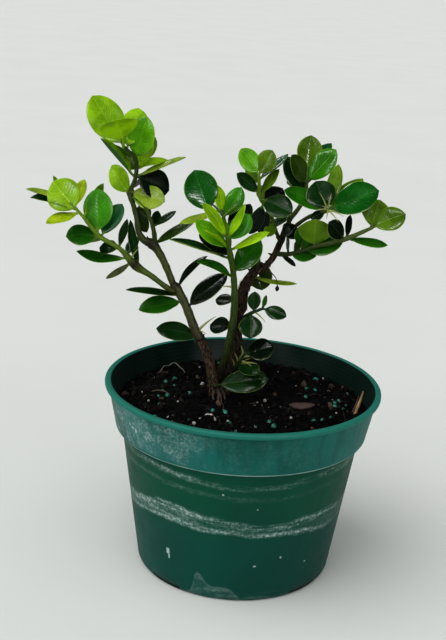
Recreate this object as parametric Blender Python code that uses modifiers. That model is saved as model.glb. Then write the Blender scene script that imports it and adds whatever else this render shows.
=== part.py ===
"""Potted natal plum: a young dwarf natal plum (a thorny evergreen shrub) in a moulded nursery pot.

The origin is on the floor under the middle of the pot, +Z is up and the front of the plant is -Y.
The tables are in millimetres, and MM turns them into Blender's metres.
"""

import math

import bmesh
import bpy
import numpy as np
from mathutils import Matrix, Vector

MM = 0.001
GAP = 0.3
SEED = 11
FLAT_DEG = 0.3

# Pot, a 6.5 inch azalea pot
POT_HEIGHT = 115.0
RIM_RADIUS = 82.5
LIP_HEIGHT = 3.0
COLLAR_TOP_RADIUS = 80.2
COLLAR_FOOT_RADIUS = 75.2
COLLAR_FOOT_Z = 87.0
BODY_TOP_RADIUS = 71.6
BASE_RADIUS = 58.5
WALL = 1.5
FLOOR_THICKNESS = 2.2
POT_SIDES = 44
NOTCH_COUNT = 4
NOTCH_WIDTH = 23.0
NOTCH_HEIGHT = 2.6
NOTCH_DEPTH = 9.0
FIRST_NOTCH_DEG = 47.0

# Soil
SOIL_EDGE_Z = 100.0
SOIL_RISE = 4.0
SOIL_SIDES = 28
SOIL_RINGS = 7
CRUMB_HEIGHT = 1.1
GRANULE_RADIUS = 1.7
GRANULE_COUNT = 18

CLOD_WAVE = (0.31, 1.3, 0.27, -0.6)
SLANT_WAVE = (0.7, 0.21, 0.52)
BED_SLOPE = 6.0
BED_DROP = 0.6
GRANULE_SINK = 0.3

# Plant
SEEN_FROM_ABOVE_DEG = 18.0
BLADE_THICKNESS = 0.8
BLADE_FOLD = 0.16
PETIOLE_SHARE = 0.10
PETIOLE_WIDTH = 1.7
BLADE_BLUNTNESS = 0.54
BLADE_TIPWARD = 1.1
BLADE_ROWS = (
    (11, (0.0, 0.09, 0.20, 0.45, 0.72, 0.91)),
    (6, (0.0, 0.10, 0.26, 0.55, 0.85)),
    (0, (0.0, 0.12, 0.45, 0.80)),
)
THORN_SIDES = 4
THORN_TIP_SHARE = 0.15
WOOD_SIDES = 2
SHOOT_SIDES = 1
ROOT_COLLAR = ((-14.0, 3.0, 90.0, 6.4), (-14.0, 3.0, 98.0, 6.4), (-14.0, 3.0, 107.0, 5.4))
HOLE_TOP_Z = 120.0
HOLE_SIDES = 4
HOLE_ROOM = 2.0
CLEARANCE_ROOM = 1.4

# Short spurs on the right limb: how many, the first one's share of its length, the step, the turn between
# two, their reach, rise and radius
LIMB_SPURS = 9
FIRST_SPUR = 0.42
SPUR_STEP = 0.06
SPUR_TURN = 2.4
SPUR_REACH = 5.5
SPUR_RISE = 3.0
SPUR_RADIUS = 0.9

# Stems: points from foot to tip as (x, y, z, radius)
STEMS = {
    "trunk": (
        (-16, 2, 103, 4.2), (-17, 1, 108, 3.7), (-19, 1, 118, 3.3), (-22, 2, 128, 3.2), (-27, 4, 138, 3.1),
    ),
    "right_wood": (
        (-12, 4, 103, 3.8), (-8, 4, 119, 3.2), (-5.5, 4, 133, 3.1), (-6, 4, 149, 3.4), (-4.2, 5, 160, 3.8),
        (-3, 6, 169, 3.9), (0.5, 8, 178, 3.4), (8, 10, 183, 2.8), (13, 12, 189, 2.6), (17, 13, 198, 2.4),
        (19, 13, 207, 2.2),
    ),
    "upper_trunk": (
        (-27, 4, 138, 3.1), (-31, 5, 145, 2.9), (-37, 8, 158, 2.7), (-42, 10, 166, 3.0), (-45, 11, 169, 2.7),
    ),
    "tall": (
        (-44.5, 12, 168, 2.1), (-50.4, 13, 181, 2.3), (-54.5, 13.5, 188, 2.5), (-58.5, 14, 192.5, 2.8),
        (-64, 14, 195, 2.2), (-67, 14.5, 200, 1.9), (-68.2, 15.3, 207, 1.7), (-70.6, 17, 214.5, 1.6),
        (-73, 18.5, 221, 1.4), (-70, 18, 231, 1.3), (-70, 15, 242, 1.2), (-77, 11, 250, 1.0),
    ),
    "tip": ((-77, 11, 249, 1.0), (-77, 10, 254, 0.8)),
    "short": (
        (-57, 13.5, 192, 1.8), (-57.3, 11, 199, 1.5), (-58.5, 9, 205, 1.3), (-60.5, 7, 211, 1.1),
        (-62.5, 5.5, 216, 0.9),
    ),
    "left": (
        (-44, 8, 166, 1.8), (-49, 6, 169, 1.8), (-58, 4, 176, 1.8), (-67, 2, 182, 2.5), (-76, -3, 193, 1.5),
        (-88, -7, 201, 1.5), (-97, -11, 213, 1.0), (-104, -14, 221, 0.8),
    ),
    "centre": (
        (-13, 3, 112, 2.0), (-13.5, 1, 118, 2.3), (-12.8, -2, 124, 2.4), (-11.2, -4, 132, 2.4),
        (-9.3, -5, 145, 2.4), (-8.1, -5, 157, 2.3), (-8.3, -5.5, 169, 2.1), (-9.3, -6.5, 180, 1.9),
        (-11, -9.5, 190.5, 1.8), (-13, -13, 199, 1.6), (-15, -17, 208, 1.0),
    ),
    "back": (
        (-11.5, -9, 189.5, 1.3), (-13, -3, 194, 1.2), (-13, 2, 201, 1.1), (-16, 4, 210, 1.0),
        (-19.5, 3, 217, 0.9), (-26, 2, 215.5, 0.8),
    ),
    "low": ((-5, 3, 152, 1.3), (-2, 0, 155, 1.2), (2, -4, 159, 1.1), (9, -6, 163, 0.8)),
    "base": ((-8, 4, 119, 1.4), (-5, -1, 124, 1.4), (-2, -6, 131, 1.2), (0, -8, 136, 0.9)),
    "foot": ((-16.5, 1, 111, 1.2), (-16.5, -3.5, 112, 1.1), (-16, -6.5, 113.5, 0.9)),
    "inner": (
        (17, 12.5, 198.5, 1.3), (13.5, 9, 206, 1.2), (11, 6.5, 213, 1.2), (8, 3.5, 220, 1.3),
        (3.5, 1, 226, 1.3), (2.2, -1, 232, 1.2), (1, -4, 242, 0.9),
    ),
    "top": (
        (19, 13, 205, 1.5), (22, 16, 212, 1.4), (27, 19, 219, 1.4), (30, 22, 227, 1.3), (30, 25, 242, 1.0),
    ),
    "outer": ((18, 12, 202, 1.4), (23, 8, 208, 1.3), (31, 4, 216, 1.2), (42, -4, 223, 1.6)),
    "lower_branch": (
        (14, 12, 191.5, 1.6), (21, 8, 192.5, 1.5), (27, 5, 195, 1.4), (36, 0, 200, 1.3), (52, -7, 207, 1.6),
        (67, -12, 216, 1.0),
    ),
    "spur": ((1, 9, 176.5, 1.4), (3.5, 12, 178.5, 1.3), (5, 14, 183, 1.2), (5, 18, 187, 0.9)),
}

# Leaves: how far up its stem each springs (0 foot, 1 tip), the reach of its tip from its root as
# (right, up, near) for someone in front of the plant, its width, the way its upper side faces, in the
# same three directions, how many degrees it bows back on the way, and its fold where it isn't BLADE_FOLD.
LEAVES = {
    "upper_trunk": (
        (0.56, (23, 22, -5), 14, (-0.4, 0.3, 0.85), 15),
        (0.80, (-32, 1, 7), 8, (0, 0.8, 0.55), 0, 0.5),
        (0.69, (-26, -7, 6), 13, (0, 0.6, 0.8), 5, 0.4),
        (0.04, (-26, 4, 3), 13, (0, 0.5, 0.85), 12),
        (0.90, (17, 21, 0), 7, (-0.55, 0.55, 0.6), 45),
    ),
    "tall": (
        (0.99, (-20, 28, 4), 21, (0.3, 0.1, 0.95), 20),
        (0.97, (5, 26, -9), 17, (-0.2, 0, 1), 10),
        (0.88, (6, 24, 9), 18, (-0.3, 0.1, 0.95), 25),
        (0.86, (10, 17, -9), 10, (0.2, 0.3, -0.9), 15),
        (0.81, (8, 20, 4), 10, (0.5, 0.1, 0.85), 15),
        (0.76, (-21, 21, 6), 10, (0.55, 0.75, 0.35), -4, 0.9),
        (0.65, (-12, 17, -3), 13, (-0.5, 0.1, 0.8), 10),
        (0.77, (29, 12, 6), 9, (-0.1, 0.8, 0.5), -12, 0.4),
        (0.82, (18, 7, -6), 9, (0, 0.8, 0.5), 0, 0.5),
        (0.77, (20, -7, -4), 20, (0.2, 0.35, 0.9), 15),
        (0.67, (21, -6, 9), 15, (0, 0.2, 0.98), 15),
        (0.57, (8, -14, -8), 8, (0.3, -0.2, 0.9), 10),
        (0.29, (24, 15, 3), 10, (-0.2, 0.7, 0.6), 6),
        (0.59, (-3, 12, -16), 8, (-0.3, 0.3, -0.8), 10),
        (0.81, (-7, 13, -17), 10, (0, 0.3, -0.9), 10),
        (0.92, (-14, 5, -16), 11, (-0.2, 0.6, -0.7), 10),
        (0.70, (8, 9, -18), 11, (0.2, 0.5, -0.8), 10),
        (0.46, (5, 13, -10), 10, (0, 0.3, -0.8), 10),
    ),
    "tip": (
        (1.00, (-4, 8, 18), 23, (-0.3, 0.85, -0.44), 10),
    ),
    "short": (
        (0.45, (2, 11, -5), 6, (0.3, 0.2, 0.9), 10),
        (0.50, (13, 10, -2), 6, (-0.3, 0.5, 0.7), 0),
        (0.95, (-8, 6, 9), 6, (0.2, 0.8, 0.4), 10),
    ),
    "left": (
        (0.92, (-14, 15, 7), 20, (0.1, 0.2, 0.95), 20),
        (0.99, (-26, 7, -3), 8, (0, 0.85, 0.4), -8, 0.6),
        (0.93, (-26, 5, 3), 12, (-0.1, 0.85, 0.5), 10, 0.5),
        (0.90, (-17, -8, 10), 11, (0, 0.8, 0.5), 10),
        (0.97, (-13, 17, -8), 5, (-0.7, 0.2, 0.6), 5),
        (0.95, (4, 17, -7), 7, (0.2, 0.1, 0.9), 5),
        (0.86, (9, 21, -12), 7, (0.7, 0.1, 0.6), 5),
        (0.70, (-1, 26, 4), 17, (0.1, 0.1, 0.98), 15),
        (0.67, (11, 20, -3), 12, (-0.3, 0.2, 0.9), 10),
        (0.69, (-18, -2, 5), 15, (0, 0.5, 0.85), 15),
        (0.42, (-30, 2, 3), 11, (-0.1, 0.8, 0.6), -35),
        (0.52, (-12, 0, -7), 10, (0, 0.4, 0.9), 5),
        (0.52, (4, 17, 2), 7, (0.8, 0, 0.6), -5),
        (0.30, (-7, 28, 3), 7, (0.7, 0, 0.7), -20),
        (0.44, (5, 12, -10), 7, (-0.2, 0.3, 0.8), 5),
        (0.38, (-14, -11, 5), 6, (0, 0.8, 0.5), -25),
        (0.70, (-6, -4, -16), 11, (-0.3, 0.6, -0.7), 10),
        (0.94, (-8, 3, -16), 10, (-0.3, 0.5, -0.8), 10),
    ),
    "centre": (
        (0.97, (-15, 19, 8), 8, (0.3, 0.4, 0.85), 10),
        (0.97, (9, 20, 6), 7, (-0.6, 0.4, 0.7), -8),
        (0.96, (12, 16, -2), 12, (-0.1, 0.2, 0.95), 15),
        (0.96, (-5, 14, -8), 7, (-0.3, 0.3, -0.8), 5),
        (0.89, (22, 11, 9), 9, (-0.2, 0.7, 0.6), -6),
        (0.90, (-20, 15, 2), 13, (0.2, 0.6, 0.8), 10),
        (0.91, (-14, 8, 13), 9, (0.1, 0.9, 0.3), 5, 0.4),
        (0.83, (-36, 9, 3), 11, (0.15, 0.9, 0.35), -4, 0.5),
        (0.84, (-19, 14, -7), 12, (0.2, 0.5, 0.8), 10),
        (0.73, (15, 20, 1), 15, (-0.3, 0.3, 0.9), 10),
        (0.70, (-22, 8, 5), 9, (0.1, 0.75, 0.6), 30, 0.5),
        (0.56, (-11, 0, -6), 9, (0, 0.5, 0.8), 5),
        (0.40, (-13, 0, -8), 12, (0, 0.4, 0.8), 5),
    ),
    "back": (
        (0.98, (-10.5, 24, 4), 20, (0.1, 0.1, 0.98), 15),
        (0.80, (-3, 16, 1), 8, (0.5, 0.1, 0.8), 5),
        (0.88, (-21, -8, 3), 9, (0, 0.8, 0.5), -5),
        (0.72, (9.5, 19, -3), 11, (-0.1, 0.1, 0.98), 12),
        (0.74, (8, 7, 3), 4, (0, 1, 0.1), -5),
        (0.40, (11, 22, -6), 12, (-0.3, 0.2, 0.9), 10),
        (0.55, (-9, -2, -18), 10, (-0.3, 0.6, -0.6), 10),
        (0.78, (-3, 6, -17), 11, (0, 0.6, -0.8), 10),
        (0.60, (13, 13, -4), 9, (0, 0.5, 0.85), 10),
    ),
    "low": (
        (0.68, (0, 12, 2), 8, (0, 0.1, 1), 5),
        (0.96, (2, 8, -2), 4, (0.7, 0, 0.7), 0),
        (0.97, (14, -4, 3), 9, (0, 0.4, 0.9), 8),
        (0.60, (0, -15, 6), 14, (0, 0.2, 0.9), 12),
    ),
    "base": (
        (0.50, (13, 1, -4), 9, (0.1, 0.8, 0.6), 12),
        (0.95, (17, 5, 2), 15, (-0.1, 0.5, 0.8), 12),
        (0.45, (13, -4, 15), 10, (0, 0.5, 0.85), 12),
    ),
    "foot": (
        (0.97, (31, 6, 4), 15, (0, 0.4, 0.92), 12),
    ),
    "inner": (
        (0.97, (-11, 14, 3), 12, (0.1, 0.2, 0.95), 12),
        (0.97, (7, 14, 4), 12, (-0.1, 0.3, 0.9), 10),
        (0.91, (16, 16, -3), 8, (-0.5, 0.5, 0.6), 0),
        (0.74, (-14, 10, 4), 10, (0.3, 0.4, 0.8), 8),
        (0.73, (10, 14, 5), 8, (-0.5, 0.4, 0.7), 0),
        (0.60, (0, 12, -13), 9, (0, 0.3, -0.9), 8),
        (0.88, (-8, 8, -13), 10, (-0.2, 0.4, -0.8), 8),
        (0.66, (18, -8, 7), 15, (0, 0.35, 0.93), 12),
        (0.58, (10, 10, -3), 13, (-0.3, 0.3, 0.9), 10),
        (0.30, (-3, -9, 5), 7, (0, 0.2, 0.95), 8),
        (0.60, (-7, -18, -7), 9, (0.3, 0, 0.9), 10),
        (0.50, (-4, -14, -6), 8, (0.2, 0, 0.95), 8),
    ),
    "top": (
        (0.93, (1, 21, 3), 15, (0, 0.05, 1), 12),
        (0.78, (16, 19, 8), 15, (-0.2, 0.3, 0.9), 12),
        (0.96, (14, 17, -6), 9, (-0.2, 0.4, 0.8), 8),
        (0.58, (-13, 22, 5), 14, (0.4, 0.2, 0.8), 10),
        (0.74, (-10, 16, 9), 13, (0.35, 0.3, 0.85), 10),
        (0.76, (11, 9, -16), 11, (0.3, 0.5, -0.6), 10),
        (0.58, (-10, 9, -16), 11, (-0.3, 0.5, -0.7), 10),
        (0.92, (-6, 10, -15), 11, (-0.1, 0.5, -0.8), 10),
        (0.28, (-19, -10, 1), 8, (0.2, 0.8, 0.5), 0),
    ),
    "outer": (
        (0.99, (28, 12, 6), 22, (-0.1, 0.5, 0.85), 12),
        (0.98, (20, 20, -6), 13, (-0.3, 0.6, 0.7), 5),
        (0.99, (-8, 16, 1), 19, (0.1, 0.3, 0.9), 12),
        (0.96, (-25, 10, 4), 14, (0.1, 0.6, 0.8), 8),
        (0.97, (6, 28, -9), 9, (-0.3, 0, 0.9), 6),
        (0.95, (10, 2, -17), 11, (0.3, 0.6, -0.6), 10),
        (0.95, (-8, -5, -3), 7, (0, 0.5, 0.85), 5),
        (0.36, (-7, -7, 0), 11, (0.1, 0, 1), 8),
    ),
    "lower_branch": (
        (1.00, (18, 8.5, 3), 15, (-0.1, 0.4, 0.9), 8),
        (0.98, (5, 17, -4), 17, (0.1, 0.2, 0.9), 8),
        (0.75, (23, -3, 2), 8, (0, 0.7, 0.7), -15),
        (0.72, (-10, 9, 4), 13, (0.2, 0.4, 0.8), 10),
        (0.30, (22, 5, 8), 13, (0, 0.4, 0.9), 12),
        (0.42, (-1, 15, 12), 19, (0, 0.75, -0.6), -10),
        (0.28, (2.5, 16, 10), 12, (0, 0.1, 1), 8),
        (0.16, (15, -1, 6), 11, (0, 0.6, 0.8), 10),
        (0.74, (2, 14, -5), 5, (0.5, 0, 0.85), 5),
        (0.48, (10, 1, -14), 10, (0.2, 0.6, -0.6), 8),
        (0.74, (5, 0, -16), 10, (0.3, 0.6, -0.6), 8),
        (0.06, (9, -7, 4), 4, (0.2, 0.6, 0.8), 10),
        (0.14, (-2, 10, 14), 4, (0.7, 0, 0.7), 0),
        (0.20, (4, 8, 8), 5, (-0.3, 0.2, 0.9), 5),
    ),
    "spur": (
        (0.97, (3, -19, -2), 15, (0, 0.2, 0.98), 8),
        (0.12, (26, -3, 3), 8, (0, 0.95, 0.4), -30),
    ),
}

# Thorns: how far up the stem, the reach of the point and the radius at the root
THORNS = {
    "upper_trunk": ((0.14, (11, 10, 1), 0.8), (0.18, (7, -2, 3), 0.5)),
    "left": ((0.40, (5, 7, 2), 0.6),),
    "centre": ((0.64, (-8, 0, 2), 0.6),),
    "outer": (
        (0.99, (-6, 9, 7), 0.55), (0.99, (1, 9, 7), 0.55), (0.99, (9, -4, 6), 0.55), (0.99, (-1, -6, 7), 0.5),
        (0.99, (6, -7, 5), 0.5), (0.99, (-7, -1, 6), 0.5),
    ),
    "low": ((0.70, (7, -6, 3), 0.5),),
    "base": (
        (0.40, (8, 5, 9), 0.5), (0.45, (3, 8, 7), 0.5), (0.50, (11, 1, 9), 0.5), (0.40, (12, 2, 11), 0.5),
    ),
}

# Nodes: the stems fused in each, and the nodes whose wood it springs from
SHOOTS = {
    "trunk_shoot": (("upper_trunk",), ("trunk",)),
    "tall_shoot": (("tall", "tip", "short"), ("upper_trunk",)),
    "left_shoot": (("left",), ("upper_trunk",)),
    "centre_shoot": (("centre",), ("trunk", "right_wood")),
    "back_twig": (("back",), ("centre",)),
    "low_sprig": (("low",), ("right_wood",)),
    "base_sprig": (("base",), ("right_wood",)),
    "foot_leaf": (("foot",), ("trunk",)),
    "inner_shoot": (("inner",), ("right_wood",)),
    "top_shoot": (("top",), ("right_wood",)),
    "outer_shoot": (("outer",), ("right_wood",)),
    "lower_branch": (("lower_branch",), ("right_wood",)),
    "spur_twig": (("spur",), ("right_wood",)),
}

WOODY = ("trunk", "right_wood")

# Loose things on the soil
CHIP_CENTRE = (35.5, -8.0)
CHIP_SIZE = (15.0, 9.0, 1.4)
CHIP_TURN_DEG = 8.0
CHIP_BED_RADIUS = 11.0
CHIP_CORNER = 2.6
STICK_PATH = (
    (62.5, -20.0, 93.0, 1.9), (66.0, -12.5, 101.0, 1.9), (69.5, -5.5, 108.0, 1.7), (71.5, 0.0, 113.0, 1.3),
)

# Edges sharper than these angles stay sharp in the shading
POT_SHARP_DEG = 35.0
CHIP_SHARP_DEG = 30.0
SOFT_SHARP_DEG = 50.0

COLOURS = {
    "pot": ((0.010, 0.10, 0.070), 0.55),
    "soil": ((0.012, 0.009, 0.007), 0.95),
    "bark": ((0.10, 0.065, 0.045), 0.85),
    "leaf": ((0.035, 0.16, 0.02), 0.30),
    "young_leaf": ((0.17, 0.36, 0.02), 0.35),
    "chip": ((0.09, 0.05, 0.045), 0.80),
    "stick": ((0.35, 0.22, 0.12), 0.80),
}
YOUNG = ("tall_shoot", "left_shoot", "centre_shoot", "inner_shoot")


def clear_scene():
    for obj in list(bpy.data.objects):
        bpy.data.objects.remove(obj, do_unlink=True)


def new_collection(name):
    collection = bpy.data.collections.new(name)
    bpy.context.scene.collection.children.link(collection)
    return collection


def material(name):
    """The Principled material of this name, made once."""
    found = bpy.data.materials.get(name)
    if found:
        return found
    colour, roughness = COLOURS[name]
    made = bpy.data.materials.new(name)
    made.use_nodes = True
    shader = made.node_tree.nodes["Principled BSDF"]
    shader.inputs["Base Color"].default_value = (*colour, 1.0)
    shader.inputs["Roughness"].default_value = roughness
    made.diffuse_color = (*colour, 1.0)
    return made


def new_object(name, mesh, collection, finish=None):
    obj = bpy.data.objects.new(name, mesh)
    collection.objects.link(obj)
    if finish:
        mesh.materials.clear()
        mesh.materials.append(material(finish))
    return obj


def smooth_path(points):
    """Two steps a span along a Catmull-Rom curve through rows of numbers."""
    p = np.array(points, float)
    p = np.vstack([2 * p[0] - p[1], p, 2 * p[-1] - p[-2]])
    rows = []
    for i in range(1, len(p) - 2):
        a, b, c, d = p[i - 1:i + 3]
        for t in (0.0, 0.5):
            rows.append(0.5 * (2 * b + (c - a) * t + (2 * a - 5 * b + 4 * c - d) * t**2
                               + (3 * b - 3 * c + d - a) * t**3))
    rows.append(p[-2])
    return np.array(rows)


def tube(name, path, collection, resolution=WOOD_SIDES, grow=0.0, overrun=0.0):
    """A closed tube along (x, y, z, radius) rows, wider by grow and longer by overrun at each end."""
    path = np.array(path, float)
    if overrun:
        first = path[0, :3] - path[1, :3]
        last = path[-1, :3] - path[-2, :3]
        path[0, :3] += overrun * first / np.linalg.norm(first)
        path[-1, :3] += overrun * last / np.linalg.norm(last)
    curve = bpy.data.curves.new(name, "CURVE")
    curve.dimensions = "3D"
    curve.bevel_depth = MM
    curve.bevel_resolution = resolution
    curve.use_fill_caps = True
    spline = curve.splines.new("POLY")
    spline.points.add(len(path) - 1)
    for point, (x, y, z, radius) in zip(spline.points, path):
        point.co = (x * MM, y * MM, z * MM, 1.0)
        point.radius = radius + grow
    guide = bpy.data.objects.new(name + "_curve", curve)
    collection.objects.link(guide)
    depsgraph = bpy.context.evaluated_depsgraph_get()
    mesh = bpy.data.meshes.new_from_object(guide.evaluated_get(depsgraph))
    bpy.data.objects.remove(guide, do_unlink=True)
    bpy.data.curves.remove(curve)
    weld(mesh)
    return new_object(name, mesh, collection)


def weld(mesh):
    bm = bmesh.new()
    bm.from_mesh(mesh)
    bmesh.ops.remove_doubles(bm, verts=bm.verts, dist=0.00001)
    bmesh.ops.recalc_face_normals(bm, faces=bm.faces)
    bm.to_mesh(mesh)
    bm.free()


def view_to_world(direction):
    """(right, up, near) for a viewer in front of the plant, who looks a little down on it."""
    tilt = math.radians(SEEN_FROM_ABOVE_DEG)
    right, up, near = direction
    return np.array([
        right,
        up * math.sin(tilt) - near * math.cos(tilt),
        up * math.cos(tilt) + near * math.sin(tilt),
    ])


def place_along(path, share):
    """The point at this share of a path's length."""
    steps = np.linalg.norm(np.diff(path[:, :3], axis=0), axis=1)
    reached = np.concatenate([[0.0], np.cumsum(steps)])
    at = share * reached[-1]
    return np.array([np.interp(at, reached, path[:, axis]) for axis in range(3)])


def blade(name, root, reach, width, face, bow_deg, fold, collection):
    """One leaf: a stalk that widens into an oval blade with a pointed tip, folded a little at its midrib.

    The midrib is an arc whose chord is the reach. Rows of three points cross it, each twice, half a
    thickness above and below, and both faces are split into triangles the same way.
    """
    chord = view_to_world(reach)
    length = np.linalg.norm(chord)
    along = chord / length
    normal = view_to_world(face)
    normal -= along * normal.dot(along)
    normal /= np.linalg.norm(normal)
    side = np.cross(along, normal)

    rows = next(shares for least, shares in BLADE_ROWS if width >= least)
    bow = math.radians(bow_deg)

    def midrib(s):
        """The arc's point: the bow angle is shared evenly about the chord."""
        if abs(bow) < 1e-4:
            return root + along * length * s
        radius = length / (2 * math.sin(bow / 2))
        turned = bow * (s - 0.5)
        ahead = radius * (math.sin(turned) + math.sin(bow / 2))
        rise = radius * (math.cos(turned) - math.cos(bow / 2))
        return root + along * ahead + normal * rise

    points = []
    for s in rows:
        u = (s - PETIOLE_SHARE) / (1.0 - PETIOLE_SHARE)
        half = PETIOLE_WIDTH / 2
        if u > 0:
            half = max(half, width / 2 * math.sin(math.pi * u**BLADE_TIPWARD) ** BLADE_BLUNTNESS)
        turned = bow * (s - 0.5)
        up = normal * math.cos(turned) + along * math.sin(turned)
        middle = midrib(s)
        for across in (-1, 0, 1):
            lift = fold * half * abs(across)
            for layer in (0.5, -0.5):
                points.append(middle + side * half * across + up * (lift + BLADE_THICKNESS * layer))
    points.append(midrib(1.0))

    faces = []
    tip = len(points) - 1
    last = len(rows) - 1

    def at(row, across, layer):
        return row * 6 + across * 2 + layer

    for row in range(last):
        for across in (0, 1):
            a, b = at(row, across, 0), at(row, across + 1, 0)
            c, d = at(row + 1, across + 1, 0), at(row + 1, across, 0)
            faces += [(a, b, c), (a, c, d)]
            faces += [(c + 1, b + 1, a + 1), (d + 1, c + 1, a + 1)]
        for across, turn in ((0, 1), (2, -1)):
            a, b = at(row, across, 0), at(row + 1, across, 0)
            faces += [(a, b, b + 1)[::turn], (a, b + 1, a + 1)[::turn]]
    for across in (0, 1):
        a, b = at(last, across, 0), at(last, across + 1, 0)
        faces += [(a, b, tip), (b + 1, a + 1, tip)]
        a, b = at(0, across, 0), at(0, across + 1, 0)
        faces += [(b, a, a + 1), (b, a + 1, b + 1)]
    a, b = at(last, 0, 0), at(last, 2, 0)
    faces += [(a, tip, a + 1), (b + 1, tip, b)]

    mesh = bpy.data.meshes.new(name)
    mesh.from_pydata([Vector(p * MM) for p in points], [], faces)
    weld(mesh)
    return new_object(name, mesh, collection)


def thorn(name, root, reach, radius, collection):
    """A tapered spike from the stem's middle to its point."""
    tip = root + view_to_world(reach)
    direction = Vector(tip - root)
    bm = bmesh.new()
    bmesh.ops.create_cone(bm, cap_ends=True, segments=THORN_SIDES, radius1=radius * MM,
                          radius2=radius * THORN_TIP_SHARE * MM, depth=direction.length * MM)
    turn = direction.to_track_quat("Z", "Y").to_matrix().to_4x4()
    bmesh.ops.transform(bm, matrix=Matrix.Translation(Vector((tip + root) / 2) * MM) @ turn, verts=bm.verts)
    mesh = bpy.data.meshes.new(name)
    bm.to_mesh(mesh)
    bm.free()
    return new_object(name, mesh, collection)


def apply_boolean(obj, operation, collection):
    """Join or cut obj with every object of a collection, then drop them."""
    modifier = obj.modifiers.new("join", "BOOLEAN")
    modifier.operation = operation
    modifier.operand_type = "COLLECTION"
    modifier.collection = collection
    modifier.solver = "EXACT"
    depsgraph = bpy.context.evaluated_depsgraph_get()
    mesh = bpy.data.meshes.new_from_object(obj.evaluated_get(depsgraph))
    obj.modifiers.clear()
    old = obj.data
    obj.data = mesh
    bpy.data.meshes.remove(old)
    for part in list(collection.objects):
        bpy.data.objects.remove(part, do_unlink=True)


def finish_node(obj, name, finish, collection, smooth_deg=SOFT_SHARP_DEG):
    """The node's final name, place in its collection, material and shading."""
    bm = bmesh.new()
    bm.from_mesh(obj.data)
    bmesh.ops.dissolve_limit(bm, angle_limit=math.radians(FLAT_DEG), verts=bm.verts, edges=bm.edges)
    bm.to_mesh(obj.data)
    bm.free()
    for owner in list(obj.users_collection):
        owner.objects.unlink(obj)
    collection.objects.link(obj)
    obj.name = name
    obj.data.name = name
    obj.data.materials.clear()
    obj.data.materials.append(material(finish))
    obj.data.shade_smooth()
    obj.data.set_sharp_from_angle(angle=math.radians(smooth_deg))


def turned(name, profile, steps, collection):
    """A profile of (radius, height) points, turned about Z."""
    bm = bmesh.new()
    verts = [bm.verts.new((r * MM, 0.0, z * MM)) for r, z in profile]
    for a, b in zip(verts, verts[1:]):
        bm.edges.new((a, b))
    mesh = bpy.data.meshes.new(name)
    bm.to_mesh(mesh)
    bm.free()
    obj = new_object(name, mesh, collection)
    screw = obj.modifiers.new("turn", "SCREW")
    screw.steps = steps
    screw.render_steps = steps
    screw.use_merge_vertices = True
    screw.merge_threshold = 0.00002
    depsgraph = bpy.context.evaluated_depsgraph_get()
    result = bpy.data.meshes.new_from_object(obj.evaluated_get(depsgraph))
    obj.modifiers.clear()
    obj.data = result
    bpy.data.meshes.remove(mesh)
    return obj


def pot_inner_radius(z):
    """The inside of the pot's wall at a height."""
    if z <= COLLAR_FOOT_Z + WALL:
        share = (z - FLOOR_THICKNESS) / (COLLAR_FOOT_Z + WALL - FLOOR_THICKNESS)
        return BASE_RADIUS + (BODY_TOP_RADIUS - BASE_RADIUS) * share - WALL
    share = (z - COLLAR_FOOT_Z - WALL) / (POT_HEIGHT - COLLAR_FOOT_Z - WALL)
    return COLLAR_FOOT_RADIUS + (COLLAR_TOP_RADIUS - COLLAR_FOOT_RADIUS) * share - WALL


def make_pot(collection, cutters):
    ledge_inside = COLLAR_FOOT_Z + WALL
    lip_foot = POT_HEIGHT - LIP_HEIGHT
    profile = [
        (0.0, FLOOR_THICKNESS),
        (BASE_RADIUS - WALL - 2.0, FLOOR_THICKNESS),
        (BASE_RADIUS - WALL, FLOOR_THICKNESS + 2.0),
        (BODY_TOP_RADIUS - WALL, ledge_inside),
        (COLLAR_FOOT_RADIUS - WALL, ledge_inside + 0.4),
        (COLLAR_TOP_RADIUS - WALL, POT_HEIGHT - 0.6),
        (COLLAR_TOP_RADIUS - WALL + 0.6, POT_HEIGHT),
        (RIM_RADIUS - 0.8, POT_HEIGHT),
        (RIM_RADIUS, POT_HEIGHT - 0.8),
        (RIM_RADIUS, lip_foot + 0.6),
        (RIM_RADIUS - 0.6, lip_foot),
        (COLLAR_TOP_RADIUS, lip_foot - 0.2),
        (COLLAR_FOOT_RADIUS + 0.2, COLLAR_FOOT_Z + 1.0),
        (COLLAR_FOOT_RADIUS - 0.8, COLLAR_FOOT_Z),
        (BODY_TOP_RADIUS, COLLAR_FOOT_Z - 0.4),
        (BASE_RADIUS + 0.6, 2.2),
        (BASE_RADIUS - 1.2, 0.0),
        (0.0, 0.0),
    ]
    pot = turned("pot", profile, POT_SIDES, collection)
    for index in range(NOTCH_COUNT):
        angle = math.radians(FIRST_NOTCH_DEG + index * 360.0 / NOTCH_COUNT)
        bpy.ops.mesh.primitive_cube_add(size=1.0)
        cutter = bpy.context.object
        cutter.scale = (NOTCH_DEPTH * MM, NOTCH_WIDTH * MM, 2 * NOTCH_HEIGHT * MM)
        cutter.rotation_euler = (0, 0, angle)
        reach = (BASE_RADIUS - NOTCH_DEPTH / 2 + 2.0) * MM
        cutter.location = (reach * math.cos(angle), reach * math.sin(angle), 0)
        for owner in list(cutter.users_collection):
            owner.objects.unlink(cutter)
        cutters.objects.link(cutter)
    bpy.context.view_layer.update()
    apply_boolean(pot, "DIFFERENCE", cutters)
    finish_node(pot, "pot", "pot", collection, POT_SHARP_DEG)


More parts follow.
